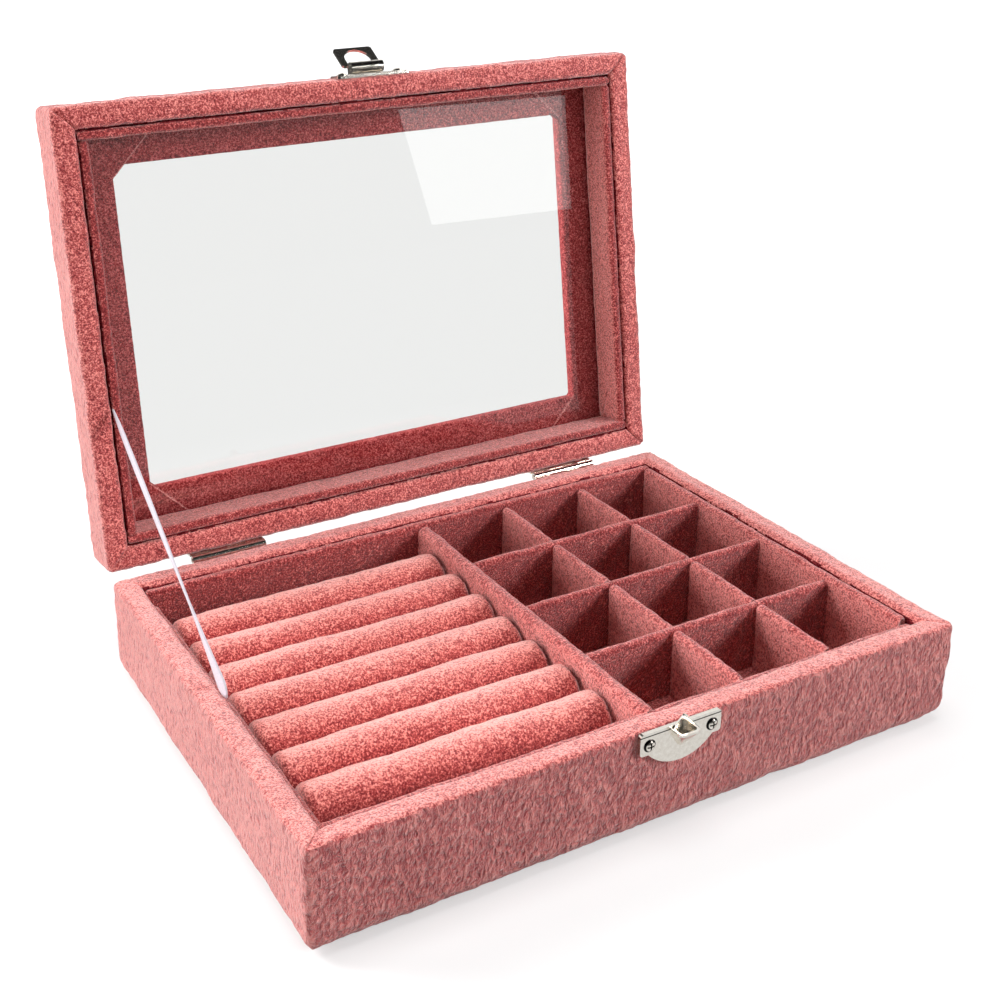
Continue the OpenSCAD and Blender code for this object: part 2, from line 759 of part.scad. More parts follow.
// ---------- What is drawn ----------

base_front_board();
base_back_board();
base_left_board();
base_right_board();
floor_board();
base_velvet();
underside_sheet();
base_front_lining();
base_back_lining();
base_left_lining();
base_right_lining();
ring_bed();
ring_roll_1();
ring_roll_2();
ring_roll_3();
ring_roll_4();
ring_roll_5();
ring_roll_6();
ring_roll_7();
centre_divider();
long_divider_1();
long_divider_2();
cross_divider_1();
cross_divider_2();
cross_divider_3();
tray_floor();
catch_plate();
catch_screws();
hinge_base_leaf_left();
hinge_base_leaf_right();
hinge_base_screws();
hinge_pins();
ribbon_stay();
lid_front_board();
lid_back_board();
lid_left_board();
lid_right_board();
lid_panel();
lid_velvet();
window_trim();
window_glass();
lid_front_lining();
lid_back_lining();
lid_left_lining();
lid_right_lining();
hinge_lid_leaf_left();
hinge_lid_leaf_right();
hinge_lid_screws();
hasp_plate();
hasp_pin();
hasp_screws();
hasp_loop();
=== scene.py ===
# %% [markdown]
# # A velvet ring box, standing open
# The box is a pair of board trays covered in short-pile velvet. The solids give every piece its
# real size and place, and this script dresses them: cloth skins, padded rolls, glass and nickel.
# Each cell makes one piece or one finish and prints what it made.

# %% The frame
import json
import math

import bpy
import numpy as np
from mathutils import Euler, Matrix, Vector


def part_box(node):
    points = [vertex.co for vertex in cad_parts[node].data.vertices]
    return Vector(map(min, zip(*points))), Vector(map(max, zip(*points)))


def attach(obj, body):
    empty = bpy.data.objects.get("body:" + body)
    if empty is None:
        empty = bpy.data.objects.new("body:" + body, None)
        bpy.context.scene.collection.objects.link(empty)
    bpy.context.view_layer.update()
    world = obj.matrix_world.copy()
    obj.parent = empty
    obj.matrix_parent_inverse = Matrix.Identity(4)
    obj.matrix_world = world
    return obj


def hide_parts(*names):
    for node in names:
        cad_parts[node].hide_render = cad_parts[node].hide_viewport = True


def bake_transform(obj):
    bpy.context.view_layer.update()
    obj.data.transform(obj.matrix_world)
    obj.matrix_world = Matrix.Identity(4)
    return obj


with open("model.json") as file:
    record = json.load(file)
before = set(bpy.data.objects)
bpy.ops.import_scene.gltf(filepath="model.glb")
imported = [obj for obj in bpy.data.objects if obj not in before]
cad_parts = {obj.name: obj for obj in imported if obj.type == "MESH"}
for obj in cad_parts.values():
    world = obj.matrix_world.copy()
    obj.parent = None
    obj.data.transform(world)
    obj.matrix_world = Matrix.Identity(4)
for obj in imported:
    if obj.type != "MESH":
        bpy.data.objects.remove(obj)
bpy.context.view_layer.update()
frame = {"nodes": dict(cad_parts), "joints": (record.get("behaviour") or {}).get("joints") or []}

MM = 0.001

# %% [markdown]
# ## The camera
# A product like this is looked down on from the left of its front corner, from less than half a
# metre away, with a standard lens. The lens is shifted a little, as on a view camera, which keeps
# the upright edges nearly upright.

# %% Camera
EYE = (-0.20259, -0.31403, 0.24184)      # in metres
AIM = (70.3702, 0.7162, -27.935)         # in degrees about x, y and z
camera_data = bpy.data.cameras.new("camera")
camera_data.sensor_width = 36
camera_data.lens = 52.233
camera_data.shift_x = 0.10
camera_data.shift_y = -0.15
camera_data.clip_start = 0.01
camera = bpy.data.objects.new("camera", camera_data)
camera.location = EYE
camera.rotation_euler = Euler([math.radians(angle) for angle in AIM], "XYZ")
bpy.context.scene.collection.objects.link(camera)
bpy.context.scene.camera = camera
print("camera at", tuple(round(v, 3) for v in camera.location))

# %% [markdown]
# ## Sizes
# A covered tray is best described by a few lengths: its outside, the width of its rim and the
# place of each edge. The outside comes from the solids, so the cloth always fits them.

# %% Sizes, in millimetres
base_low, base_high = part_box("base_velvet")
width = (base_high.x - base_low.x) / MM
depth = (base_high.y - base_low.y) / MM
rim_z = base_high.z / MM
RIM = 7.3                  # width of a covered rim
GROOVE = 0.2               # between a rim and its lining
LINING = 3.1               # thickness of a covered lining
SEAM = 0.2                 # between the two rims when the box is shut
lid_z = rim_z + SEAM
lining_x = width / 2 - RIM - GROOVE - LINING
lining_y = depth / 2 - RIM - GROOVE - LINING
print("base", round(width, 2), "x", round(depth, 2), "mm, rim at", round(rim_z, 2))

# %% [markdown]
# ## The lid, shut and open
# It is easier to think of the lid as it lies on the base, where its edges are upright and level.
# So each of its pieces is drawn shut and then swung about the hinge line to where it stands.

# %% Swinging the lid
OPEN_ANGLE = math.radians(98.3)
hinge = next(j for j in frame["joints"] if j["name"] == "lid_hinge")
hinge_y, hinge_z = (v / MM for v in hinge["pos_m"][1:])


def swung(points, angle):
    """Points in mm, swung about the hinge line."""
    points = np.array(points, float)
    dy = points[..., 1] - hinge_y
    dz = points[..., 2] - hinge_z
    turned = points.copy()
    turned[..., 1] = hinge_y + dy * math.cos(angle) + dz * math.sin(angle)
    turned[..., 2] = hinge_z - dy * math.sin(angle) + dz * math.cos(angle)
    return turned


def opened(points):
    """Points of the shut lid where they are when it stands open."""
    return swung(points, OPEN_ANGLE)


def shut(points):
    """Points of the open lid where they are when it is shut."""
    return swung(points, -OPEN_ANGLE)


print("hinge line at y", round(hinge_y, 2), "and z", round(hinge_z, 2))

# %% [markdown]
# ## Meshes from rows of points
# Nearly every soft piece here is a grid: rows of points along it and columns across or round it.
# The points come from a few lines of arithmetic, and the faces are always the same pattern of
# quads, so the same helpers make them all.

# %% Mesh helpers
def build(name, points, faces):
    """A smooth mesh object from points in mm and faces, linked into the scene."""
    mesh = bpy.data.meshes.new(name)
    mesh.from_pydata([tuple(p) for p in (np.array(points) * MM).tolist()], [], faces)
    mesh.polygons.foreach_set("use_smooth", [True] * len(mesh.polygons))
    mesh.update()
    piece = bpy.data.objects.new(name, mesh)
    bpy.context.scene.collection.objects.link(piece)
    return piece


def grid_faces(rows, columns, wrap_columns=False):
    """Quads between the points of a grid, whose columns may close on themselves."""
    r = np.arange(rows - 1)
    c = np.arange(columns if wrap_columns else columns - 1)
    r, c = (a.ravel() for a in np.meshgrid(r, c, indexing="ij"))
    r2 = r + 1
    c2 = (c + 1) % columns
    quads = [r * columns + c, r * columns + c2, r2 * columns + c2, r2 * columns + c]
    return np.stack(quads, 1).tolist()


def end_faces(rows, columns, outward=True):
    """The two faces that close the ends of a tube."""
    first = list(range(columns))
    last = [columns * (rows - 1) + k for k in range(columns)]
    return [first[::-1], last] if outward else [first, last[::-1]]


print("quads of a small grid:", len(grid_faces(3, 4)))

# %% [markdown]
# ## The ribbon stay
# A narrow satin ribbon stops the lid just past upright. It is glued into the groove behind the
# left lining of each half. It lies almost flat to the side of the box, but its foot is glued at a
# slant, so it rolls a little one way and back again. It is swept as a flat section that turns, and
# it is gathered to a fifth of its width where the glue holds it.

# %% Ribbon
RIBBON_WIDE = 3.4
RIBBON_THICK = 0.4
RIBBON_GATHERED = 0.2                  # share of its width at the two ends
FOOT_GATHER = 0.04                     # share of its length that widens from the foot
HEAD_GATHER = 0.12                     # and from the head
RIBBON_ROWS = 96
RIBBON_COLUMNS = 5
TWIST_AT = (0.0, 0.05, 0.1, 0.16, 0.23, 0.3, 0.4, 0.5, 0.75, 1.0)
TWIST = (-19, -19, -9, -1, 7, 12, 9, 2, -4, 0)        # degrees from the side of the box
ribbon_x = -width / 2 + RIM + 0.1
ribbon_foot = np.array([ribbon_x, -5.0, rim_z - 0.6])
ribbon_head = opened([ribbon_x, 19.5, lid_z - 0.5])
ribbon_run = ribbon_head - ribbon_foot
ribbon_length = float(np.linalg.norm(ribbon_run))


def make_ribbon():
    along = ribbon_run / ribbon_length
    side = np.array([1.0, 0, 0])
    up = np.cross(along, side)
    rows = []
    for t in np.linspace(0, 1, RIBBON_ROWS):
        turn = math.radians(float(np.interp(t, TWIST_AT, TWIST)))
        grown = min(1, t / FOOT_GATHER, (1 - t) / HEAD_GATHER)
        spread = RIBBON_GATHERED + (1 - RIBBON_GATHERED) * math.sin(math.pi / 2 * grown)
        half = RIBBON_WIDE / 2 * spread
        wide = math.cos(turn) * up + math.sin(turn) * side
        thick = (math.cos(turn) * side - math.sin(turn) * up) * RIBBON_THICK / 2
        middle = ribbon_foot + t * ribbon_run
        offsets = np.linspace(-half, half, RIBBON_COLUMNS)
        rows.append([middle + wide * o - thick for o in offsets]
                    + [middle + wide * o + thick for o in offsets[::-1]])
    around = 2 * RIBBON_COLUMNS
    faces = grid_faces(RIBBON_ROWS, around, wrap_columns=True) + end_faces(RIBBON_ROWS, around)
    return build("ribbon", np.array(rows).reshape(-1, 3), faces)


ribbon = make_ribbon()
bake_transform(ribbon)
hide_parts("ribbon_stay")
print("ribbon of", round(ribbon_length, 1), "mm")

# %% [markdown]
# ## Building blocks for finishes
# A finish is a small tree of shader nodes. Most of these helpers add one node and return what it
# gives, so that a finish further down reads like a recipe. What is the same all over a surface is
# set on the shader itself, and only what varies from place to place gets nodes.

# %% Finish helpers
def set_sockets(node, values):
    """Sets a node's own values, by the names of their sockets."""
    for socket, value in values.items():
        node.inputs[socket].default_value = value


def new_finish(name, values):
    """A material with these values all over, its node tree and its main shader."""
    material = bpy.data.materials.new(name)
    material.use_nodes = True
    shader = material.node_tree.nodes["Principled BSDF"]
    set_sockets(shader, values)
    return material, material.node_tree, shader


def node_of(tree, kind, **settings):
    node = tree.nodes.new(kind)
    for key, value in settings.items():
        setattr(node, key, value)
    return node


def place_of(tree):
    """Where a point is on the piece itself, in metres."""
    return node_of(tree, "ShaderNodeTexCoord").outputs["Object"]


def axes_of(tree, vector):
    """The x, y and z of a vector, as outputs with the names X, Y and Z."""
    axes = node_of(tree, "ShaderNodeSeparateXYZ")
    tree.links.new(vector, axes.inputs[0])
    return axes.outputs


def noise_of(tree, vector, scale, detail=2.0, roughness=0.5, distortion=0.0):
    noise = node_of(tree, "ShaderNodeTexNoise")
    set_sockets(noise, {"Scale": scale, "Detail": detail, "Roughness": roughness,
                        "Distortion": distortion})
    tree.links.new(vector, noise.inputs["Vector"])
    return noise.outputs["Fac"]


print("nodes for places and noise ready")

# %% [markdown]
# ## Colours and levels
# Noise is only a number from 0 to 1 at each point. A ramp turns it into colours, and a fade turns
# any other number, such as a height, into a level. Both can be mixed and then wired to a shader.

# %% Colour helpers
BLACK = (0.0, 0.0, 0.0)
WHITE = (1.0, 1.0, 1.0)


def grey(level):
    return (level, level, level)


def ramp_of(tree, factor, stops):
    """Colours along a value; stops are (place, colour)."""
    ramp = node_of(tree, "ShaderNodeValToRGB")
    elements = ramp.color_ramp.elements
    while len(elements) < len(stops):
        elements.new(0.5)
    for element, (place, colour) in zip(elements, stops):
        element.position = place
        element.color = (*colour, 1)
    tree.links.new(factor, ramp.inputs["Fac"])
    return ramp.outputs["Color"]


def mix_of(tree, blend, factor, a, b):
    mix = node_of(tree, "ShaderNodeMix", data_type="RGBA", blend_type=blend)
    for socket, value in ((mix.inputs[0], factor), (mix.inputs[6], a), (mix.inputs[7], b)):
        if hasattr(value, "links"):
            tree.links.new(value, socket)
        else:
            socket.default_value = value
    return mix.outputs[2]


def maths_of(tree, operation, a, b):
    node = node_of(tree, "ShaderNodeMath", operation=operation)
    tree.links.new(a, node.inputs[0])
    tree.links.new(b, node.inputs[1])
    return node.outputs[0]


def fade_of(tree, value, between, levels):
    """A value's place between two others, as a level between two levels."""
    fade = node_of(tree, "ShaderNodeMapRange")
    set_sockets(fade, {"From Min": between[0], "From Max": between[1],
                       "To Min": levels[0], "To Max": levels[1]})
    tree.links.new(value, fade.inputs["Value"])
    return fade.outputs["Result"]


def emboss(tree, shader, height, strength, distance):
    """Lets a height tilt the light on a shader."""
    relief = node_of(tree, "ShaderNodeBump")
    set_sockets(relief, {"Strength": strength, "Distance": distance})
    tree.links.new(height, relief.inputs["Height"])
    tree.links.new(relief.outputs["Normal"], shader.inputs["Normal"])


print("nodes for colours and levels ready")

# %% [markdown]
# ## Velvet
# Velvet is a cloth of short upright fibres. Looked at along the fibres it is deep and saturated,
# because light is caught between them; looked at across their tips it is pale. Four things make
# it: a speckled colour at the size of the tufts, painted light and shade that moves the colour
# towards the tips on faces turned one way and towards the gaps on faces turned away, broad cloudy
# patches where the cloth was stroked, and sheen, which brightens the surface where it turns away.
# The speckle is solid noise, so it needs no unwrapping and runs on round every edge. Noise keeps
# near its middle value, so the three colours of the pile stand close together on the ramp.

# %% Velvet, as a recipe
GAPS_AT, BODY_AT, TIPS_AT = 0.39, 0.5, 0.61
CLOUDS = 45.0              # patches where the pile was stroked another way, per metre
PILE_RELIEF = 0.003        # reach of the bump, in metres


def velvet(name, gaps, body, tips, tuft=1900.0, stretch=(1, 1, 1), clump=0.3, cloud=0.3, sheen=0.8,
           fuzz=0.3, bump=1.0, lit_side=(0, 0, 0)):
    """Velvet whose fibre gaps, body and tips have these colours.

    tuft is how fine the tufts are, per metre, and stretch draws them out where it is below 1. clump
    is the share of coarser tufts among them, and cloud the strength of the stroked patches. The last
    argument is painted light and shade: faces turned along it get colours nearer the tips, as if
    lit, and faces turned away get colours nearer the gaps, as if shaded.
    """
    material, tree, shader = new_finish(name, {
        "Roughness": 0.95, "Specular IOR Level": 0.1, "Sheen Weight": sheen,
        "Sheen Roughness": fuzz, "Sheen Tint": (1.0, 0.78, 0.76, 1)})
    coordinates = node_of(tree, "ShaderNodeTexCoord")
    place = coordinates.outputs["Object"]
    mapping = node_of(tree, "ShaderNodeMapping")
    set_sockets(mapping, {"Scale": stretch})
    tree.links.new(place, mapping.inputs["Vector"])
    drawn = mapping.outputs["Vector"]
    height = node_of(tree, "ShaderNodeMix", data_type="FLOAT")
    height.inputs[0].default_value = clump
    tree.links.new(noise_of(tree, drawn, tuft, 3.0, 0.6, 0.4), height.inputs[2])
    tree.links.new(noise_of(tree, drawn, tuft * 0.4, 1.0, 0.5, 1.0), height.inputs[3])
    pile = height.outputs[0]
    # painted light and shade: how far a face turns along the given direction moves its colour up or
    # down the ramp
    lit_facing = node_of(tree, "ShaderNodeVectorMath", operation="DOT_PRODUCT")
    lit_facing.inputs[1].default_value = lit_side
    tree.links.new(coordinates.outputs["Normal"], lit_facing.inputs[0])
    shown = maths_of(tree, "ADD", pile, lit_facing.outputs["Value"])
    colour = ramp_of(tree, shown, [(GAPS_AT, gaps), (BODY_AT, body), (TIPS_AT, tips)])
    patches = noise_of(tree, place, CLOUDS, 3.0, 0.6, 0.4)
    veil = ramp_of(tree, patches, [(0.3, grey(0.35)), (0.7, grey(0.65))])
    tree.links.new(mix_of(tree, "SOFT_LIGHT", cloud, colour, veil), shader.inputs["Base Color"])
    emboss(tree, shader, pile, bump, PILE_RELIEF)
    return material


print("colours of the pile at", GAPS_AT, BODY_AT, TIPS_AT)

# %% [markdown]
# ## One cloth, seven ways
# The box wears one dusty rose velvet, drawn here as seven copies that differ in tufts, sheen and
# painted light and shade. In four of them the colour is painted lighter on faces turned one way
# and darker on faces turned away: on the linings, dividers and floors, lighter to the left and the
# back; on the rims, lighter to the left and on top; on the rolls, lighter up and back; on the
# outside walls, whose tufts are coarser and drawn upwards, lighter to the left. The copy for the
# linings, dividers and floors is also darker than that of the rolls, as painted shade. A nearly
# black copy without sheen is painted shade in the grooves and at the rolls' ends. The border
# behind the glass is a darker copy with little sheen, painted shade for its dim place. Round the
# edge of each fold a paler copy with full sheen is a painted highlight.

# %% The velvets
ROSE_GAPS = (0.16, 0.007, 0.012)
ROSE = (0.49, 0.058, 0.056)
ROSE_TIPS = (0.94, 0.32, 0.285)
# darker than the rolls' copy, as painted shade for the compartments; painted lighter to the left and
# the back
velvet_inside = velvet("velvet_inside", ROSE_GAPS, ROSE, ROSE_TIPS, clump=0.2, sheen=0.75, fuzz=0.5,
                       bump=0.5, lit_side=(-0.05, 0.055, 0.0))
# painted lighter to the left and on top
velvet_rim = velvet("velvet_rim", (0.17, 0.009, 0.015), (0.51, 0.068, 0.066), (0.96, 0.35, 0.31),
                    tuft=2000.0, clump=0.25, cloud=0.5, sheen=1.0, fuzz=0.5, bump=0.4,
                    lit_side=(-0.03, 0.0, 0.05))
# painted lighter up and back
velvet_roll = velvet("velvet_roll", (0.22, 0.012, 0.018), (0.59, 0.09, 0.082), (1.0, 0.39, 0.33),
                     clump=0.2, sheen=1.0, fuzz=0.5, bump=0.35, lit_side=(0.0, 0.08, 0.07))
# painted lighter to the left
velvet_outside = velvet("velvet_outside", (0.38, 0.050, 0.056), (0.58, 0.112, 0.110),
                        (0.86, 0.28, 0.255), tuft=1080.0, stretch=(1, 1, 0.55), cloud=0.4,
                        sheen=0.75, fuzz=0.55, bump=1.1, lit_side=(-0.1, 0.0, 0.0))
# painted shade: a nearly black copy without sheen, for the grooves and the rolls' ends
velvet_groove_shade = velvet("velvet_groove_shade", (0.05, 0.003, 0.006), (0.16, 0.014, 0.02),
                        (0.34, 0.05, 0.055), tuft=1700.0, sheen=0.0, bump=0.3)
# a darker copy with little sheen: painted shade for the dim border behind the glass
velvet_border = velvet("velvet_border", (0.15, 0.006, 0.010), (0.43, 0.034, 0.04),
                       (0.84, 0.19, 0.18), clump=0.2, sheen=0.1, fuzz=0.4, bump=0.4)
# painted highlight: a paler copy with full sheen, for the round edges of the folds
velvet_fold_highlight = velvet("velvet_fold_highlight", ROSE, (0.75, 0.17, 0.16), (1.0, 0.42, 0.38), clump=0.1,
                     sheen=1.0, fuzz=0.6, bump=0.3)
print("velvets:", [m.name for m in bpy.data.materials if m.name.startswith("velvet_")])

# %% [markdown]
# ## Working in the pile
# Real cloth is never as true as the board under it. After a skin is built, its points are moved a
# little along their normals by smooth noise. The noise is a sum of waves in fixed random
# directions, so the same seed always gives the same cloth.

# %% Noise for cloth
def waves(points, length, seed, count=28):
    """Smooth noise of about -1 to 1 at points in mm, with waves about length mm long."""
    chance = np.random.default_rng(seed)
    directions = chance.normal(size=(count, 3))
    directions /= np.linalg.norm(directions, axis=1)[:, None]
    rates = 2 * math.pi / (length * chance.uniform(0.7, 1.5, count))
    phases = chance.uniform(0, 2 * math.pi, count)
    total = np.zeros(len(points))
    for direction, rate, phase in zip(directions, rates, phases):
        total += np.sin(points @ direction * rate + phase)
    return total / math.sqrt(count / 2) / 1.6


def ruffle(piece, layers):
    """Moves a piece's points along their normals; layers are (mm, wave length in mm, seed)."""
    mesh = piece.data
    points = np.empty(len(mesh.vertices) * 3)
    normals = np.empty(len(mesh.vertices) * 3)
    mesh.vertices.foreach_get("co", points)
    mesh.vertices.foreach_get("normal", normals)
    points = points.reshape(-1, 3)
    out = sum(amount * waves(points / MM, length, seed) for amount, length, seed in layers)
    points += normals.reshape(-1, 3) * (out * MM)[:, None]
    mesh.vertices.foreach_set("co", points.ravel())
    mesh.update()


print("waves at one place:", waves(np.zeros((1, 3)), 5, 1).round(2))

# %% [markdown]
# ## Covering a piece
# A covered piece has one velvet all over, and often a second one by place: the coarser velvet of
# the outer walls, or a nearly black velvet that is painted shade beside a groove. The second one
# goes on by face, wherever a test of the face's direction and place says so.

# %% Covering
GROOVE_SHADE_WIDE = 0.25             # width of the painted groove shade beside a groove


def wear(piece, material, body, *nodes):
    """Gives a piece its material, the body it rides on and the solids it stands for."""
    piece.data.materials.append(material)
    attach(piece, body)
    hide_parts(*nodes)


def face_out(piece, material, test):
    """Gives one more material to the faces whose normal and centre, in mm, pass a test."""
    mesh = piece.data
    mesh.materials.append(material)
    normals = np.empty(len(mesh.polygons) * 3)
    centres = np.empty(len(mesh.polygons) * 3)
    slots = np.empty(len(mesh.polygons), np.int32)
    mesh.polygons.foreach_get("normal", normals)
    mesh.polygons.foreach_get("center", centres)
    mesh.polygons.foreach_get("material_index", slots)
    slots[test(normals.reshape(-1, 3), centres.reshape(-1, 3) / MM)] = len(mesh.materials) - 1
    mesh.polygons.foreach_set("material_index", slots)
    mesh.update()


def depth_in(points):
    """How far in from the outside of the box points are."""
    return np.minimum(width / 2 - abs(points[:, 0]), depth / 2 - abs(points[:, 1]))


def beside_rim(normals, centres):
    """The faces tucked down behind a rim."""
    return depth_in(centres) > RIM - GROOVE_SHADE_WIDE


def beside_lining(normals, centres):
    """The faces of a lining that stand in the groove."""
    return depth_in(centres) < RIM + GROOVE + GROOVE_SHADE_WIDE


# the painted groove shade is this wide on each side of a groove
print("pile pressed for", GROOVE_SHADE_WIDE, "mm beside each groove")

# %% [markdown]
# ## Rounded profiles
# Cloth over an edge never turns sharply. A profile is written as a few corners with a rounding
# each, and is then cut into steps of less than a millimetre, so that there are points enough for
# the cloth's waves.

# %% Profiles
STEP = 0.8


def direction(start, end):
    return (end - start) / np.linalg.norm(end - start)


def bend_round(before, here, after, radius):
    """Points along the arc that rounds the corner here."""
    into = direction(before, here)
    out = direction(here, after)
    bend = math.acos(max(-1, min(1, float(into @ out))))
    reach = radius * math.tan(bend / 2)
    centre = here + direction(into, out) * (radius / math.cos(bend / 2))
    first = here - into * reach - centre
    last = here + out * reach - centre
    points = []
    for t in np.linspace(0, 1, max(4, int(radius * bend / (STEP * 0.6))) + 1):
        a = math.sin((1 - t) * bend) / math.sin(bend)
        b = math.sin(t * bend) / math.sin(bend)
        points.append(centre + a * first + b * last)
    return points


def rounded(corners):
    """A line through corners (a, b, radius), each rounded, as points about a step apart."""
    places = [np.array(corner[:2], float) for corner in corners]
    marks = [places[0]]
    for before, here, after, corner in zip(places, places[1:], places[2:], corners[1:]):
        marks += bend_round(before, here, after, corner[2])
    marks.append(places[-1])
    line = [marks[0]]
    for a, b in zip(marks, marks[1:]):
        count = max(1, int(math.ceil(np.linalg.norm(b - a) / STEP)))
        line += [a + (b - a) * k / count for k in range(1, count + 1)]
    return np.array(line)


print("points are", STEP, "mm apart")

# %% [markdown]
# ## Rings round a tray
# Seen from above, every loop of cloth round a tray is a rectangle with its four corners rounded,
# or cut straight across. All loops of one skin have the same number of points, so that they can be
# joined by a grid of faces.

# %% Rings
def ring(half_x, half_y, radii, along_x, along_y, corner_steps=5, cut=False):
    """Points round a rectangle whose corners are round, or cut straight across."""
    arcs = []
    for k, (sx, sy) in enumerate(((1, 1), (-1, 1), (-1, -1), (1, -1))):
        radius = max(radii[k], 0.2)
        x = sx * (half_x - radius)
        y = sy * (half_y - radius)
        arc = []
        for t in range(corner_steps + 1):
            a = math.radians(90 * k + 90 * t / corner_steps)
            arc.append(np.array([x + radius * math.cos(a), y + radius * math.sin(a)]))
        if cut:
            arc = [arc[0] + (arc[-1] - arc[0]) * t / corner_steps for t in range(corner_steps + 1)]
        arcs.append(arc)
    points = []
    for k, arc in enumerate(arcs):
        points += [tuple(p) for p in arc]
        last = arc[-1]
        goal = arcs[(k + 1) % 4][0]
        count = along_x if k % 2 == 0 else along_y
        points += [tuple(last + (goal - last) * t / count) for t in range(1, count)]
    return points


print("points in a small ring:", len(ring(5, 5, [1, 1, 1, 1], 4, 4)))

# %% [markdown]
# ## Skins swept round a tray
# The cloth of a tray is one profile carried round its rings, like a picture-frame moulding, and
# mitred at the corners. Cloth folded at a mitre leaves a crease there, and the flap that lies on
# top stands up a little beside it.

# %% Sweeps
CORNER = 1.8               # rounding of the upright corners
CREASE_WIDE = 0.45         # from the middle of a crease to its side
FLAP_HIGH = 0.7            # share of the crease's depth
FLAP_REACH = 2.2


def mitred(points, crease_deep, rim, up):
    """Folds the cloth at the mitres of a rim at this height, which faces up (1) or down (-1)."""
    points = points.copy()
    from_side = width / 2 - abs(points[:, 0])
    from_front = depth / 2 - abs(points[:, 1])
    across = (from_side - from_front) / math.sqrt(2)
    on_rim = (np.maximum(from_side, from_front) < RIM + 0.5) & (abs(points[:, 2] - rim) < 1.2)
    crease = -np.exp(-(across / CREASE_WIDE) ** 2)
    flap = np.where(across < 0, FLAP_HIGH * np.exp(across / FLAP_REACH), 0)
    points[:, 2] += np.where(on_rim, (crease + flap) * crease_deep * up, 0)
    return points


def swept_skin(profile, crease_deep, rim, up):
    """The points and faces of a skin whose profile runs as (distance in, height)."""
    along_x = int(width / STEP)
    along_y = int(depth / STEP)
    rows = []
    for inset, z in profile:
        loop = ring(width / 2 - inset, depth / 2 - inset, [CORNER - inset] * 4, along_x, along_y)
        rows.append([(x, y, z) for x, y in loop])
    points = np.array(rows)
    faces = grid_faces(points.shape[0], points.shape[1], wrap_columns=True)
    return mitred(points.reshape(-1, 3), crease_deep, rim, up), faces


print("creases at the mitres are", 2 * CREASE_WIDE, "mm wide")

# %% [markdown]
# ## The velvet of the base
# One cloth covers the walls. It starts under the floor, comes up the outside over a well-rounded
# bottom edge, crosses the rim, and is tucked down behind the linings. Where the shut lid lies on
# the rim the pile is crushed by a quarter of a millimetre, which also keeps the two cloths apart.

# %% Base skin
CRUSHED = 0.26
UNDERSIDE = 0.2            # height of the cloth's turned-under edge
TURNED_UNDER = 14
TUCKED_IN = 9
base_rim = rim_z - CRUSHED
base_profile = rounded([(TURNED_UNDER, UNDERSIDE, 0), (0, UNDERSIDE, 5.8), (0, base_rim, 1.6),
                        (RIM, base_rim, 2.4), (RIM, base_rim - TUCKED_IN, 0)])
base_points, base_faces = swept_skin(base_profile, 0.25, base_rim, 1)
base_skin = build("base_skin", base_points, base_faces)
ruffle(base_skin, [(0.16, 16, 11), (0.10, 5, 12), (0.06, 1.9, 13)])


def base_walls(normals, centres):
    """The faces of the base's upright outside."""
    return (abs(normals[:, 2]) < 0.7) & (depth_in(centres) < RIM / 2)


wear(base_skin, velvet_rim, "base", "base_velvet")
face_out(base_skin, velvet_outside, base_walls)
# the faces tucked down behind the rim take the painted groove shade
face_out(base_skin, velvet_groove_shade, beside_rim)
print("base skin:", len(base_skin.data.polygons), "faces")

# %% [markdown]
# ## The velvet of the lid
# The lid's cloth runs the other way: from the window's edge over the top, down the sides, across
# the rim and in behind the linings.

# %% Lid skin
LID_HIGH = 18.6
WINDOW_X = 159.6 / 2
WINDOW_Y = 101.4 / 2
lid_top = lid_z + LID_HIGH
lid_rim = lid_z + CRUSHED
top_wide = depth / 2 - WINDOW_Y
lid_profile = rounded([(top_wide + 0.15, lid_top, 0), (0, lid_top, 3.0), (0, lid_rim, 1.6),
                       (RIM, lid_rim, 2.2), (RIM, lid_rim + TUCKED_IN, 0)])
lid_points, lid_faces = swept_skin(lid_profile, 0.6, lid_rim, -1)
lid_skin = build("lid_skin", opened(lid_points), lid_faces)
lid_skin.data.flip_normals()
ruffle(lid_skin, [(0.16, 16, 21), (0.10, 5, 22), (0.06, 1.9, 23)])


def lid_walls(normals, centres):
    """The faces of the lid's upright outside, between its round edges."""
    places = shut(centres)
    from_middle = abs(places[:, 2] - lid_rim - LID_HIGH / 2)
    return (from_middle < LID_HIGH / 2 - 1.6) & (depth_in(places) < RIM / 2)


def beside_lid_rim(normals, centres):
    places = shut(centres)
    return beside_rim(normals, places) & (places[:, 2] < lid_top - 4)


wear(lid_skin, velvet_rim, "lid", "lid_velvet")
face_out(lid_skin, velvet_outside, lid_walls)
# the faces tucked down behind the rim take the painted groove shade
face_out(lid_skin, velvet_groove_shade, beside_lid_rim)
print("lid skin:", len(lid_skin.data.polygons), "faces")

# %% [markdown]
# ## Covered boards
# Linings and dividers are strips of card wrapped in velvet, so each is one long board with a round
# top edge. The cloth is folded in at the ends, which makes them thinner there and lets the top
# edge sink a little.

# %% Covered boards
FLOOR_TOP = 5.2
END_THIN = 0.28            # share of its thickness that a board loses at its very end
END_SINK = 0.4             # how far its top edge sinks there
END_SINK_REACH = 1.2


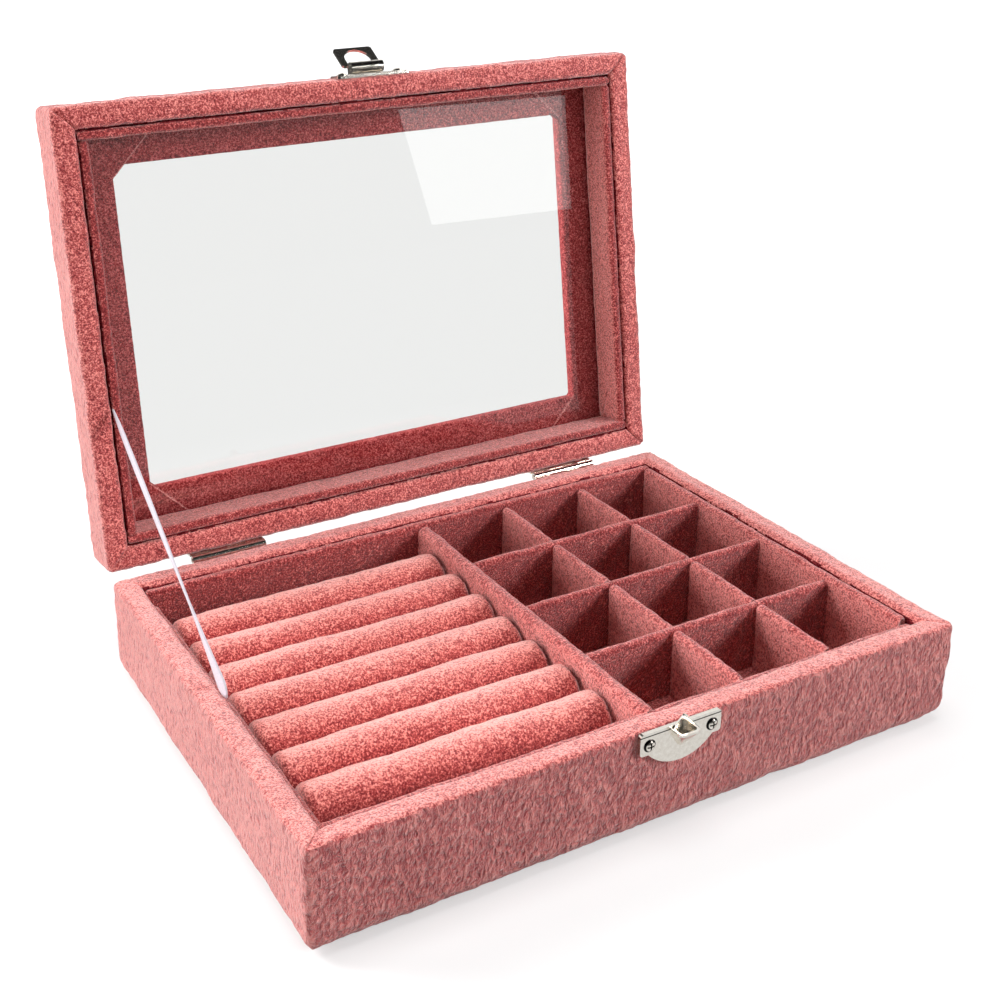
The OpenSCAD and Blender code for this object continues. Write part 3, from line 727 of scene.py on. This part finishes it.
def covered_board(name, thick, length, low, high, round_top, turn, middle):
    """A board along y, turned about z by turn degrees and set with its middle at a point (x, y)."""
    half = thick / 2
    r = min(round_top, half - 0.05)
    profile = rounded([(-half, low, 0), (-half, high, r), (half, high, r), (half, low, 0)])
    steps = max(2, int(length / STEP))
    end_round = min(0.9, half * 0.6)
    rows = []
    for y in np.linspace(-length / 2, length / 2, steps + 1):
        near = min(y + length / 2, length / 2 - y)
        full = 1.0 if near > end_round else math.sin(near / end_round * math.pi / 2)
        shrink = 1 - END_THIN + END_THIN * full
        sink = END_SINK * max(0.0, 1 - near / END_SINK_REACH) ** 2 / (high - low)
        rows.append([(a * shrink, y, low + (z - low) * (1 - sink)) for a, z in profile])
    rows = np.array(rows)
    a = math.radians(turn)
    spin = np.array([[math.cos(a), -math.sin(a), 0], [math.sin(a), math.cos(a), 0], [0, 0, 1]])
    points = rows.reshape(-1, 3) @ spin.T + np.array([middle[0], middle[1], 0])
    faces = grid_faces(steps + 1, len(profile), wrap_columns=True)
    faces += end_faces(steps + 1, len(profile), outward=False)
    return build(name, points, faces)


print("boards stand on the floor at", FLOOR_TOP, "mm")

# %% [markdown]
# ## Linings
# Four strips line the walls of each tray. Those of the base stand a little below the rim. Those of
# the lid hang from the glass, so each is drawn standing, turned upside down and swung open.

# %% Linings
LINING_ROUND = 1.3
LINING_DROPS = {"right": 1.3, "back": 1.3, "left": 5.8, "front": 2.8}      # below the rim
SIDES = {"right": (0, 1, 0), "back": (90, 0, 1), "left": (0, -1, 0), "front": (90, 0, -1)}
CLOTH = 1.2                # the lid's layers from the top: velvet, panel, border and pane
PANEL = 2
TRIM = 0.8
GLASS = 2
glass_z = lid_z + LID_HIGH - CLOTH - PANEL - TRIM - GLASS


def hang(strip, low, high):
    """Turns a lining of the lid upside down and opens it."""
    points = np.array([v.co for v in strip.data.vertices]) / MM
    points[:, 2] = low + high - points[:, 2]
    strip.data.vertices.foreach_set("co", (opened(points) * MM).ravel())
    strip.data.flip_normals()
    strip.data.update()


def lining(tray, side):
    """A strip along one side of a tray: it stands in the base and hangs in the lid."""
    turn, sx, sy = SIDES[side]
    low = FLOOR_TOP if tray == "base" else lid_z + 0.6
    high = rim_z - LINING_DROPS[side] if tray == "base" else glass_z - 0.1
    length = 2 * lining_y if sx else 2 * (lining_x + LINING)
    middle = (sx * (lining_x + LINING / 2), sy * (lining_y + LINING / 2))
    strip = covered_board(f"{tray}_lining_{side}", LINING, length, low, high, LINING_ROUND, turn,
                          middle)
    if tray == "lid":
        hang(strip, low, high)
    return strip


def beside_lid_lining(normals, centres):
    return beside_lining(normals, shut(centres))


for tray, first_seed, in_groove in (("base", 31, beside_lining), ("lid", 61, beside_lid_lining)):
    for seed, side in enumerate(SIDES, first_seed):
        strip = lining(tray, side)
        ruffle(strip, [(0.12, 14, seed), (0.07, 4, seed + 10), (0.05, 1.6, seed + 20)])
        wear(strip, velvet_inside, tray, f"{tray}_{side}_lining")
        # the faces of a lining that stand in the groove take the painted groove shade
        face_out(strip, velvet_groove_shade, in_groove)
print("linings:", list(SIDES), "in both trays")

# %% [markdown]
# ## Dividers
# The thick centre divider parts the rolls from the compartments. The thin ones are slotted into
# each other: those from side to side run through on top, and those from front to back show as
# lengths between them, each with soft ends that are pushed up against its neighbours.

# %% Dividers
CENTRE_LEFT = -1.0
CENTRE_THICK = 4.4
DIVIDER = 2.9
DIVIDER_TOP = 28.8
TRAY_TOP = 8.0
COLUMNS = 3
ROWS = 4
LAST_COLUMN_LESS = 2.2     # the column on the right is narrower by this much
centre_right = CENTRE_LEFT + CENTRE_THICK
column = (lining_x - centre_right - (COLUMNS - 1) * DIVIDER + LAST_COLUMN_LESS) / COLUMNS
row = (2 * lining_y - (ROWS - 1) * DIVIDER) / ROWS
long_x = [centre_right + k * (column + DIVIDER) - DIVIDER / 2 for k in range(1, COLUMNS)]
cross_y = [lining_y - k * (row + DIVIDER) + DIVIDER / 2 for k in range(1, ROWS)]


def join(pieces, name):
    """Several pieces as one object."""
    with bpy.context.temp_override(active_object=pieces[0], selected_editable_objects=pieces):
        bpy.ops.object.join()
    pieces[0].name = name
    pieces[0].data.name = name
    return pieces[0]


centre = covered_board("divider_centre", CENTRE_THICK, 2 * lining_y + 2.4, FLOOR_TOP,
                       DIVIDER_TOP + 0.3, 2.1, 0, (CENTRE_LEFT + CENTRE_THICK / 2, 0))
ruffle(centre, [(0.16, 18, 91), (0.08, 5, 92), (0.05, 1.8, 93)])
wear(centre, velvet_inside, "base", "centre_divider")
for number, y in enumerate(cross_y, 1):
    cross = covered_board(f"divider_cross_{number}", DIVIDER, lining_x - centre_right + 1.6,
                          TRAY_TOP, DIVIDER_TOP, 1.4, 90, ((centre_right + lining_x) / 2, y))
    ruffle(cross, [(0.16, 17, 100 + number), (0.08, 4.5, 110 + number), (0.05, 1.7, 120 + number)])
    wear(cross, velvet_inside, "base", f"cross_divider_{number}")
for number, x in enumerate(long_x, 1):
    lengths = []
    for k in range(ROWS):
        y = lining_y - row / 2 - k * (row + DIVIDER)
        lengths.append(covered_board(f"long_{number}_{k}", DIVIDER, row + 0.2, TRAY_TOP,
                                     DIVIDER_TOP - 0.1, 1.4, 0, (x, y)))
    long = join(lengths, f"divider_long_{number}")
    ruffle(long, [(0.14, 17, 130 + number), (0.08, 4.5, 140 + number), (0.05, 1.7, 150 + number)])
    wear(long, velvet_inside, "base", f"long_divider_{number}")
print("dividers at x", [round(x, 1) for x in long_x], "and y", [round(y, 1) for y in cross_y])

# %% [markdown]
# ## Ring rolls
# Seven sticks of soft foam, each in its own sleeve of velvet, lie side by side so that a ring can
# be pressed between any two. The cloth is tucked in at the ends, which rounds them, and foam cut
# by hand is never quite straight, so each roll gets its own gentle bends. The foam takes up the
# slack of its cloth, so nothing here has to be draped.

# %% Ring rolls
ROLLS = 7
ROLL_R = 7.3
ROLL_PITCH = 14.8
ROLL_SHIFT = 1.3           # how far the row of rolls sits behind the middle
LEFT_TUCK = 2.6            # length of the rounding at the left ends
RIGHT_TUCK = 2.4           # and at the right ends
ROLL_END = 0.6             # share of the radius that is left where the cloth is tucked in
END_LOW = 0.35             # share of a roll's height that doesn't follow its rounding
BED = 11.1


def ring_roll(number):
    left = -lining_x + 0.1
    right = CENTRE_LEFT - 0.1
    y = ROLL_SHIFT + ((ROLLS + 1) / 2 - number) * ROLL_PITCH
    steps = int((right - left) / STEP)
    around = int(2 * math.pi * ROLL_R / STEP)
    angles = np.linspace(0, 2 * math.pi, around, endpoint=False)
    rows = []
    for x in np.linspace(left, right, steps + 1):
        near = min((x - left) / LEFT_TUCK, (right - x) / RIGHT_TUCK, 1.0)
        swell = ROLL_END + (1 - ROLL_END) * math.sqrt(1 - (1 - near) ** 2)
        r = ROLL_R * swell
        axis_z = BED + ROLL_R * (END_LOW + (1 - END_LOW) * swell)
        rows.append(np.stack([np.full(around, x), y + r * np.cos(angles),
                              axis_z + r * np.sin(angles)], 1))
    faces = grid_faces(steps + 1, around, wrap_columns=True) + end_faces(steps + 1, around)
    roll = build(f"roll_{number}", np.array(rows).reshape(-1, 3), faces)
    ruffle(roll, [(0.22, 30, 200 + number), (0.10, 7, 210 + number), (0.06, 1.8, 220 + number)])
    wear(roll, velvet_roll, "base", f"ring_roll_{number}")
    # painted shade at the roll's right end, where it meets the centre divider
    face_out(roll, velvet_groove_shade, lambda normals, centres: normals[:, 0] > 0.75)
    return roll


rolls = [ring_roll(number) for number in range(1, ROLLS + 1)]
print("rolls:", len(rolls), "of", len(rolls[0].data.polygons), "faces")

# %% [markdown]
# ## The bed and the tray's floor
# The bed under the rolls and the floor of the compartments are flat cards in the same velvet. Each
# is a grid for its top, with a wall of faces round its edge and one face below.

# %% Cards
def velvet_card(name, left, right, high, seed, node):
    """A card from the floor board up to a height, as deep as the tray."""
    count_x = int((right - left) / STEP)
    count_y = int(2 * lining_y / STEP)
    xs = np.linspace(left, right, count_x + 1)
    ys = np.linspace(-lining_y, lining_y, count_y + 1)
    gx, gy = np.meshgrid(xs, ys, indexing="ij")
    top = np.stack([gx, gy, np.full(gx.shape, high)], 2).reshape(-1, 3)
    edge = ([k * (count_y + 1) for k in range(count_x + 1)]
            + [count_x * (count_y + 1) + k for k in range(1, count_y + 1)]
            + [k * (count_y + 1) + count_y for k in range(count_x - 1, -1, -1)]
            + [k for k in range(count_y - 1, 0, -1)])
    total = len(edge)
    under = top[edge].copy()
    under[:, 2] = FLOOR_TOP + 0.1
    first = len(top)
    faces = [face[::-1] for face in grid_faces(count_x + 1, count_y + 1)]
    faces += [[edge[k], first + k, first + (k + 1) % total, edge[(k + 1) % total]][::-1]
              for k in range(total)]
    faces.append([first + k for k in range(total)][::-1])
    card = build(name, np.concatenate([top, under]), faces)
    ruffle(card, [(0.12, 9, seed), (0.06, 2, seed + 1)])
    wear(card, velvet_inside, "base", node)
    return card


bed_card = velvet_card("floor_rolls", -lining_x, CENTRE_LEFT, BED, 230, "ring_bed")
tray_card = velvet_card("floor_tray", centre_right, lining_x, TRAY_TOP, 240, "tray_floor")
print("cards:", bed_card.name, "and", tray_card.name)

# %% [markdown]
# ## The window's border
# Inside the lid a frame of velvet lies against the glass. Its side strips are folded at 45 degrees
# over the ends of the front and back strips. Each fold leaves a round edge from the lining to the
# corner of the window, and cuts a little off that corner. At the window the cloth is turned up
# over the panel's cut edge, so that no board shows from either side.

# %% Window border
STRIP_LOW = 0.42           # the long strips lie this much further from the glass
FLAP_EDGE = ((0.0, 0.42), (0.02, 0.2), (0.14, 0.07), (0.4, 0.03), (0.9, 0.05), (2.0, 0.12),
             (4.0, 0.25), (6.5, 0.42), (7.0, 0.5))      # (distance from the fold, gap to the pane)
CUTS = (2.0, 0.8, 4.0, 1.2)      # cut off the corners: back left and right, front left and right
TURN_UP = ((0.4, 0.15), (1.0, 0.2), (1.8, 0.2), (2.6, 0.2), (3.4, 0.1))      # (up, back)
TURN_START = 0.3           # how far the cloth bends up before it reaches the window's edge
STRIP_ROWS = 24
FLAP_ROWS = 30
CUT_STEPS = 8
trim_z = glass_z + GLASS
outer_x = lining_x + LINING
outer_y = lining_y + LINING


def cut_at(x, y):
    return CUTS[(2 if y < 0 else 0) + (1 if x > 0 else 0)]


def fold_flap(sx, sy):
    """The folded end of a side strip: a sheet with a round edge that lies on the long strip."""
    cut = cut_at(sx, sy)
    length = (lining_y + 1.2 - (WINDOW_Y - cut)) * math.sqrt(2)
    rows = []
    for s in np.linspace(0, length, FLAP_ROWS):
        raised = min(1.0, s / 3.0)
        for d, z in FLAP_EDGE:
            x = min(WINDOW_X + (d - s) / math.sqrt(2), outer_x)
            y = min(WINDOW_Y - cut + (d + s) / math.sqrt(2), outer_y)
            rows.append((sx * x, sy * y, trim_z + STRIP_LOW - (STRIP_LOW - z) * raised + 0.03))
    faces = grid_faces(FLAP_ROWS, len(FLAP_EDGE))
    if sx * sy < 0:
        faces = [face[::-1] for face in faces]
    return build(f"fold_{sx}_{sy}", opened(rows), faces)


def border_strips():
    along_x = int(2 * WINDOW_X / STEP)
    along_y = int(2 * WINDOW_Y / STEP)
    corners = [cut_at(sx, sy) for sx, sy in ((1, 1), (-1, 1), (-1, -1), (1, -1))]
    rows = []
    for t in np.linspace(0, 1, STRIP_ROWS):
        half_x = outer_x + (WINDOW_X - outer_x) * t
        half_y = outer_y + (WINDOW_Y - outer_y) * t
        cuts = [0.2 + (cut - 0.2) * t for cut in corners]
        loop = ring(half_x, half_y, cuts, along_x, along_y, CUT_STEPS, cut=True)
        rows.append([(x, y, trim_z + STRIP_LOW + TURN_START * t ** 6) for x, y in loop])
    for up, back in TURN_UP:
        loop = ring(WINDOW_X - back, WINDOW_Y - back, corners, along_x, along_y, CUT_STEPS,
                    cut=True)
        rows.append([(x, y, trim_z + STRIP_LOW + TURN_START + up) for x, y in loop])
    points = np.array(rows)
    faces = grid_faces(points.shape[0], points.shape[1], wrap_columns=True)
    return build("window_border", opened(points.reshape(-1, 3)), faces)


strips = border_strips()
flaps = [fold_flap(sx, sy) for sx in (-1, 1) for sy in (-1, 1)]
border = join([strips] + flaps, "window_border")
ruffle(border, [(0.03, 4, 251), (0.03, 1.6, 252)])
wear(border, velvet_border, "lid", "window_trim")
print("window border:", len(border.data.polygons), "faces")

# %% [markdown]
# ## The painted highlight on the edge of a fold
# A pale line along the round edge of each fold is a painted highlight. It is half a millimetre
# wide, so it is simply the faces along the fold, in a paler velvet with full sheen.

# %% Fold edges
FOLD_WIDE = 0.45


def turned_edge(normals, centres):
    """The faces along the folds' round edges."""
    x, y = shut(centres)[:, :2].T
    cut = np.array([cut_at(*place) for place in zip(x, y)])
    d = (abs(x) - WINDOW_X + abs(y) - WINDOW_Y + cut) / math.sqrt(2)
    return (d > -0.05) & (d < FOLD_WIDE) & (abs(x) < lining_x) & (abs(y) > WINDOW_Y - cut)


# the faces along each fold's edge take the painted highlight
face_out(border, velvet_fold_highlight, turned_edge)
print("pale fold edges", FOLD_WIDE, "mm wide")

# %% [markdown]
# ## Glass
# A pane of clear float glass. Its faces reflect a little of the room, and the pane dims what is
# seen through it very slightly. The pane keeps its solid and takes a finish.

# %% Glass
def dress(node, material):
    """A solid keeps its shape and takes a finish."""
    mesh = frame["nodes"][node].data
    mesh.materials.clear()
    mesh.materials.append(material)


glass = new_finish("window_glass", {"Base Color": (0.88, 0.885, 0.875, 1), "Roughness": 0.0,
                                    "IOR": 1.5, "Transmission Weight": 1.0})[0]
dress("window_glass", glass)
print("glass dressed")

# %% [markdown]
# ## Nickel
# Bright nickel plating over pressed steel: a warm white metal with a faint orange-peel surface and
# slightly duller patches where it has been handled. A small bevel rounds the stamped edges, so
# that they catch the light.

# %% Nickel
EDGE_BEVEL = 0.00018
PLATE_BEVEL = 0.0003


def nickel(name):
    material, tree, shader = new_finish(name, {"Metallic": 1.0})
    place = place_of(tree)
    handled = noise_of(tree, place, 900.0, 3.0, 0.6)
    colour = ramp_of(tree, handled, [(0.3, (0.82, 0.76, 0.68)), (0.7, (0.92, 0.88, 0.81))])
    tree.links.new(colour, shader.inputs["Base Color"])
    tree.links.new(fade_of(tree, handled, (0.0, 1.0), (0.12, 0.26)), shader.inputs["Roughness"])
    emboss(tree, shader, noise_of(tree, place, 1600.0, 2.0), 0.05, 0.0002)
    return material


def round_edges(solid, bevel):
    edges = solid.modifiers.new("worn edges", "BEVEL")
    edges.width = bevel
    edges.segments = 3
    edges.limit_method = "ANGLE"
    edges.angle_limit = math.radians(35)
    edges.use_clamp_overlap = False


bright_nickel = nickel("bright_nickel")
metal = [node for node in frame["nodes"] if node.startswith(("catch_", "hasp_", "hinge_"))]
for node in metal:
    dress(node, bright_nickel)
    round_edges(frame["nodes"][node], PLATE_BEVEL if node == "catch_plate" else EDGE_BEVEL)
print("nickel on", len(metal), "solids of the clasp and the hinges")

# %% [markdown]
# ## Painted shade in the nickel
# Painted shade fills the crosses of the catch's screws and rings their domed heads, and a line of
# painted shade runs under the plate's top edge, on both sides of the nose. Both finishes are the
# same nickel with a nearly black colour let in by place: a little behind the screws' faces, and
# along one level of the plate.

# %% Recesses
RECESS_SHADE = (0.015, 0.013, 0.012, 1)
CREASE_SHADE = (0.02, 0.018, 0.016, 1)
CREASE_HIGH = 0.0015       # the band below the top edge in which the painted shade line lies
NOSE_SIDE = 0.005          # the painted shade line keeps this far from the middle of the nose


def paint_shade(tree, shader, amount, colour):
    """Lets the dark colour of painted shade into a finish by an amount that varies from place to
    place.
    """
    bright = shader.inputs["Base Color"].links[0].from_socket
    tree.links.new(mix_of(tree, "MIX", amount, bright, colour), shader.inputs["Base Color"])


def recess_shaded(name, face_y):
    """Nickel with painted shade a little behind a face at this y, as down in a screw's cross."""
    material = nickel(name)
    tree = material.node_tree
    y = axes_of(tree, place_of(tree))["Y"]
    recess_shade_amount = fade_of(tree, y, (face_y + 0.0003, face_y + 0.0004), (0.0, 1.0))
    paint_shade(tree, tree.nodes["Principled BSDF"], recess_shade_amount, RECESS_SHADE)
    return material


def crease_shaded(name, top, nose_x):
    """Nickel with a painted shade line under a plate's top edge at this z, broken by the nose at
    this x.
    """
    material = nickel(name)
    tree = material.node_tree
    axes = axes_of(tree, place_of(tree))
    up = fade_of(tree, axes["Z"], (top - CREASE_HIGH, top), (0.0, 1.0))
    line = ramp_of(tree, up, [(0.30, BLACK), (0.37, WHITE), (0.50, WHITE), (0.57, BLACK)])
    across = fade_of(tree, axes["X"], (nose_x - NOSE_SIDE, nose_x + NOSE_SIDE), (0.0, 1.0))
    sides = ramp_of(tree, across, [(0.15, WHITE), (0.19, BLACK), (0.81, BLACK), (0.85, WHITE)])
    crease = mix_of(tree, "MULTIPLY", 1.0, line, sides)
    paint_shade(tree, tree.nodes["Principled BSDF"], crease, CREASE_SHADE)
    return material


catch_low, catch_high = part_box("catch_plate")
plate_top = (rim_z - 0.3) * MM
# painted shade: a dark line under the catch plate's top edge, and dark crosses and rings on its
# screws
dress("catch_plate", crease_shaded("crease_shade_nickel", plate_top, (catch_low.x + catch_high.x) / 2))
dress("catch_screws", recess_shaded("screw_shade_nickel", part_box("catch_screws")[0].y))
print("crease just below z", round(plate_top, 4), "m")

# %% [markdown]
# ## Boards and the underside
# The boards are plain fibreboard. Nothing of them shows, but they still have a finish, and so has
# the thin flocked sheet that covers the cloth's turned-under edges.

# %% Boards
def speckled(name, grain, stops, values):
    """A finish with a fine grain in its colour; grain is the noise's scale, detail and so on."""
    material, tree, shader = new_finish(name, values)
    colour = ramp_of(tree, noise_of(tree, place_of(tree), *grain), stops)
    tree.links.new(colour, shader.inputs["Base Color"])
    return material


fibreboard = speckled("fibreboard", (1400.0, 4.0, 0.65),
                      [(0.35, (0.36, 0.25, 0.15)), (0.65, (0.52, 0.39, 0.26))], {"Roughness": 0.85})
boards = [node for node in frame["nodes"] if node.endswith("_board") or node == "lid_panel"]
for node in boards:
    dress(node, fibreboard)
flock = velvet("flocked_sheet", (0.16, 0.03, 0.036), (0.34, 0.09, 0.095), (0.52, 0.2, 0.2),
               tuft=2400.0, cloud=0.2, sheen=0.3, bump=0.3)
dress("underside_sheet", flock)
print("finished", len(boards), "boards and the underside sheet")

# %% [markdown]
# ## Satin
# The ribbon's threads float over each other for most of their length, so satin is smooth and
# gleams softly. A very fine speckle of two cool greys stands for the threads.

# %% Satin
satin = speckled("satin_ribbon", (3000.0, 2.0),
                 [(0.3, (0.52, 0.48, 0.54)), (0.7, (0.64, 0.60, 0.66))],
                 {"Roughness": 0.45, "Sheen Weight": 0.3})
ribbon.data.materials.append(satin)
print("ribbon finished")

# %% [markdown]
# ## The floor
# A white floor that looks white without bright lamps: what the camera sees of it glows by itself,
# less so near the box, where the box's own shadow then shows. Rays that have come through the pane
# see plain white. Mirrored in nickel or glass, the floor is bright close to the box and fades
# quickly, so that the metal gets its dark bands. As a light on the box it is a middle grey.

# %% Floor
FLOOR_HALF = 6000
FLOOR_GREY = (0.5, 0.5, 0.5, 1)


def make_floor():
    half = FLOOR_HALF
    corners = [(-half, -half, 0), (half, -half, 0), (half, half, 0), (-half, half, 0)]
    floor = build("floor", corners, [(0, 1, 2, 3)])
    floor.location.z = -0.0002
    material, tree, shader = new_finish("floor", {
        "Roughness": 0.9, "Specular IOR Level": 0.0, "Emission Color": (1, 1, 1, 1)})
    path = node_of(tree, "ShaderNodeLightPath").outputs
    through = path["Is Transmission Ray"]
    unlit = maths_of(tree, "MAXIMUM", through, path["Is Glossy Ray"])
    tree.links.new(mix_of(tree, "MIX", unlit, FLOOR_GREY, (0, 0, 0, 1)),
                   shader.inputs["Base Color"])
    far = node_of(tree, "ShaderNodeVectorMath", operation="LENGTH")
    tree.links.new(place_of(tree), far.inputs[0])
    distance = far.outputs["Value"]
    direct = maths_of(tree, "MULTIPLY", path["Is Camera Ray"],
                      fade_of(tree, distance, (0.3, 1.1), (0.45, 1.0)))
    mirrored = maths_of(tree, "MULTIPLY", maths_of(tree, "SUBTRACT", unlit, through),
                        fade_of(tree, distance, (0.18, 0.4), (0.75, 0.08)))
    level = maths_of(tree, "ADD", maths_of(tree, "ADD", direct, mirrored), through)
    tree.links.new(level, shader.inputs["Emission Strength"])
    floor.data.materials.append(material)
    return floor


floor = make_floor()
print("floor at", round(floor.location.z, 4), "m")

# %% [markdown]
# ## The surroundings
# White wherever they are looked at, straight or through the pane. As a light they are dark, but
# for the low part behind the box. What metal mirrors of them is white behind the box and low down,
# and dark in front and overhead, which gives bright metal its contrast.

# %% World
BACK_GLOW = 2.0
FRONT_MIRRORED = 0.02
TOP_MIRRORED = 0.03


def make_world():
    world = bpy.data.worlds.new("world")
    bpy.context.scene.world = world
    world.use_nodes = True
    tree = world.node_tree
    background = tree.nodes["Background"]
    path = node_of(tree, "ShaderNodeLightPath").outputs
    clear = maths_of(tree, "MAXIMUM", path["Is Camera Ray"], path["Is Transmission Ray"])
    axes = axes_of(tree, node_of(tree, "ShaderNodeTexCoord").outputs["Generated"])
    mirrored = mix_of(tree, "MULTIPLY", 1.0,
                      ramp_of(tree, axes["Y"], [(0.0, grey(FRONT_MIRRORED)), (0.25, WHITE)]),
                      ramp_of(tree, axes["Z"], [(0.60, WHITE), (0.72, grey(TOP_MIRRORED))]))
    lit = mix_of(tree, "MULTIPLY", 1.0,
                 ramp_of(tree, axes["Y"], [(0.45, BLACK), (0.75, WHITE)]),
                 ramp_of(tree, axes["Z"], [(0.30, WHITE), (0.55, BLACK)]))
    glow = mix_of(tree, "MULTIPLY", 1.0, lit, (*grey(BACK_GLOW), 1))
    shown = mix_of(tree, "MIX", path["Is Glossy Ray"], glow, mirrored)
    final = mix_of(tree, "MIX", clear, shown, (1, 1, 1, 1))
    tree.links.new(final, background.inputs["Color"])
    background.inputs["Strength"].default_value = 1.0
    return world


world = make_world()
print("surroundings:", world.name)

# %% [markdown]
# ## Lamps
# The main lamp is a broad one high on the left and behind. It lights the left wall, the rims and
# the faces that look to the left in the compartments. A low one on the left fills the wall, one
# overhead lights the tops of the rolls, and one in front on the right fills the front wall. Only
# the last is mirrored in the metal.

# %% Lamps
BOX_MIDDLE = (0, 0, 0.03)


def lamp(name, place, target, size, watts, mirrored=False):
    data = bpy.data.lights.new(name, "AREA")
    data.shape = "RECTANGLE"
    data.size, data.size_y = size
    data.energy = watts
    light = bpy.data.objects.new(name, data)
    light.location = place
    light.visible_glossy = mirrored
    aim = Vector(target) - Vector(place)
    light.rotation_euler = aim.to_track_quat("-Z", "Y").to_euler()
    bpy.context.scene.collection.objects.link(light)
    return light


lamps = [
    lamp("left_lamp", (-0.9, 0.9, 0.8), BOX_MIDDLE, (0.8, 0.7), 26),
    lamp("low_lamp", (-1.4, 0.0, 0.35), BOX_MIDDLE, (0.8, 0.5), 10),
    lamp("top_lamp", (0.0, 0.0, 1.4), (0, 0, 0), (0.8, 0.7), 10),
    lamp("front_lamp", (0.75, -0.6, 0.43), BOX_MIDDLE, (0.5, 0.35), 10.5, mirrored=True),
]
print("lamps:", [light.name for light in lamps])

# %% [markdown]
# ## The card in the pane
# Glass is only seen by what it mirrors. A white card stands in front of the box, out of view, and
# the pane shows it as a pale patch in its upper right corner.

# %% Reflected card
CARD_Y = -900
CARD_CORNERS = ((536, 246), (557, 116), (1150, 100), (1150, 235))      # (x, z)


def reflected_card():
    card = build("card", [(x, CARD_Y, z) for x, z in CARD_CORNERS], [(0, 1, 2, 3)])
    card.visible_shadow = False
    glow = new_finish("card", {"Base Color": (0, 0, 0, 1), "Emission Color": (1, 1, 1, 1),
                               "Emission Strength": 2.0})[0]
    card.data.materials.append(glow)
    return card


card = reflected_card()
bpy.context.scene.view_settings.view_transform = "Standard"
print("card at y", CARD_Y, "mm")

# %% [markdown]
# ## The end

# %% Finish
print("scene dressed")
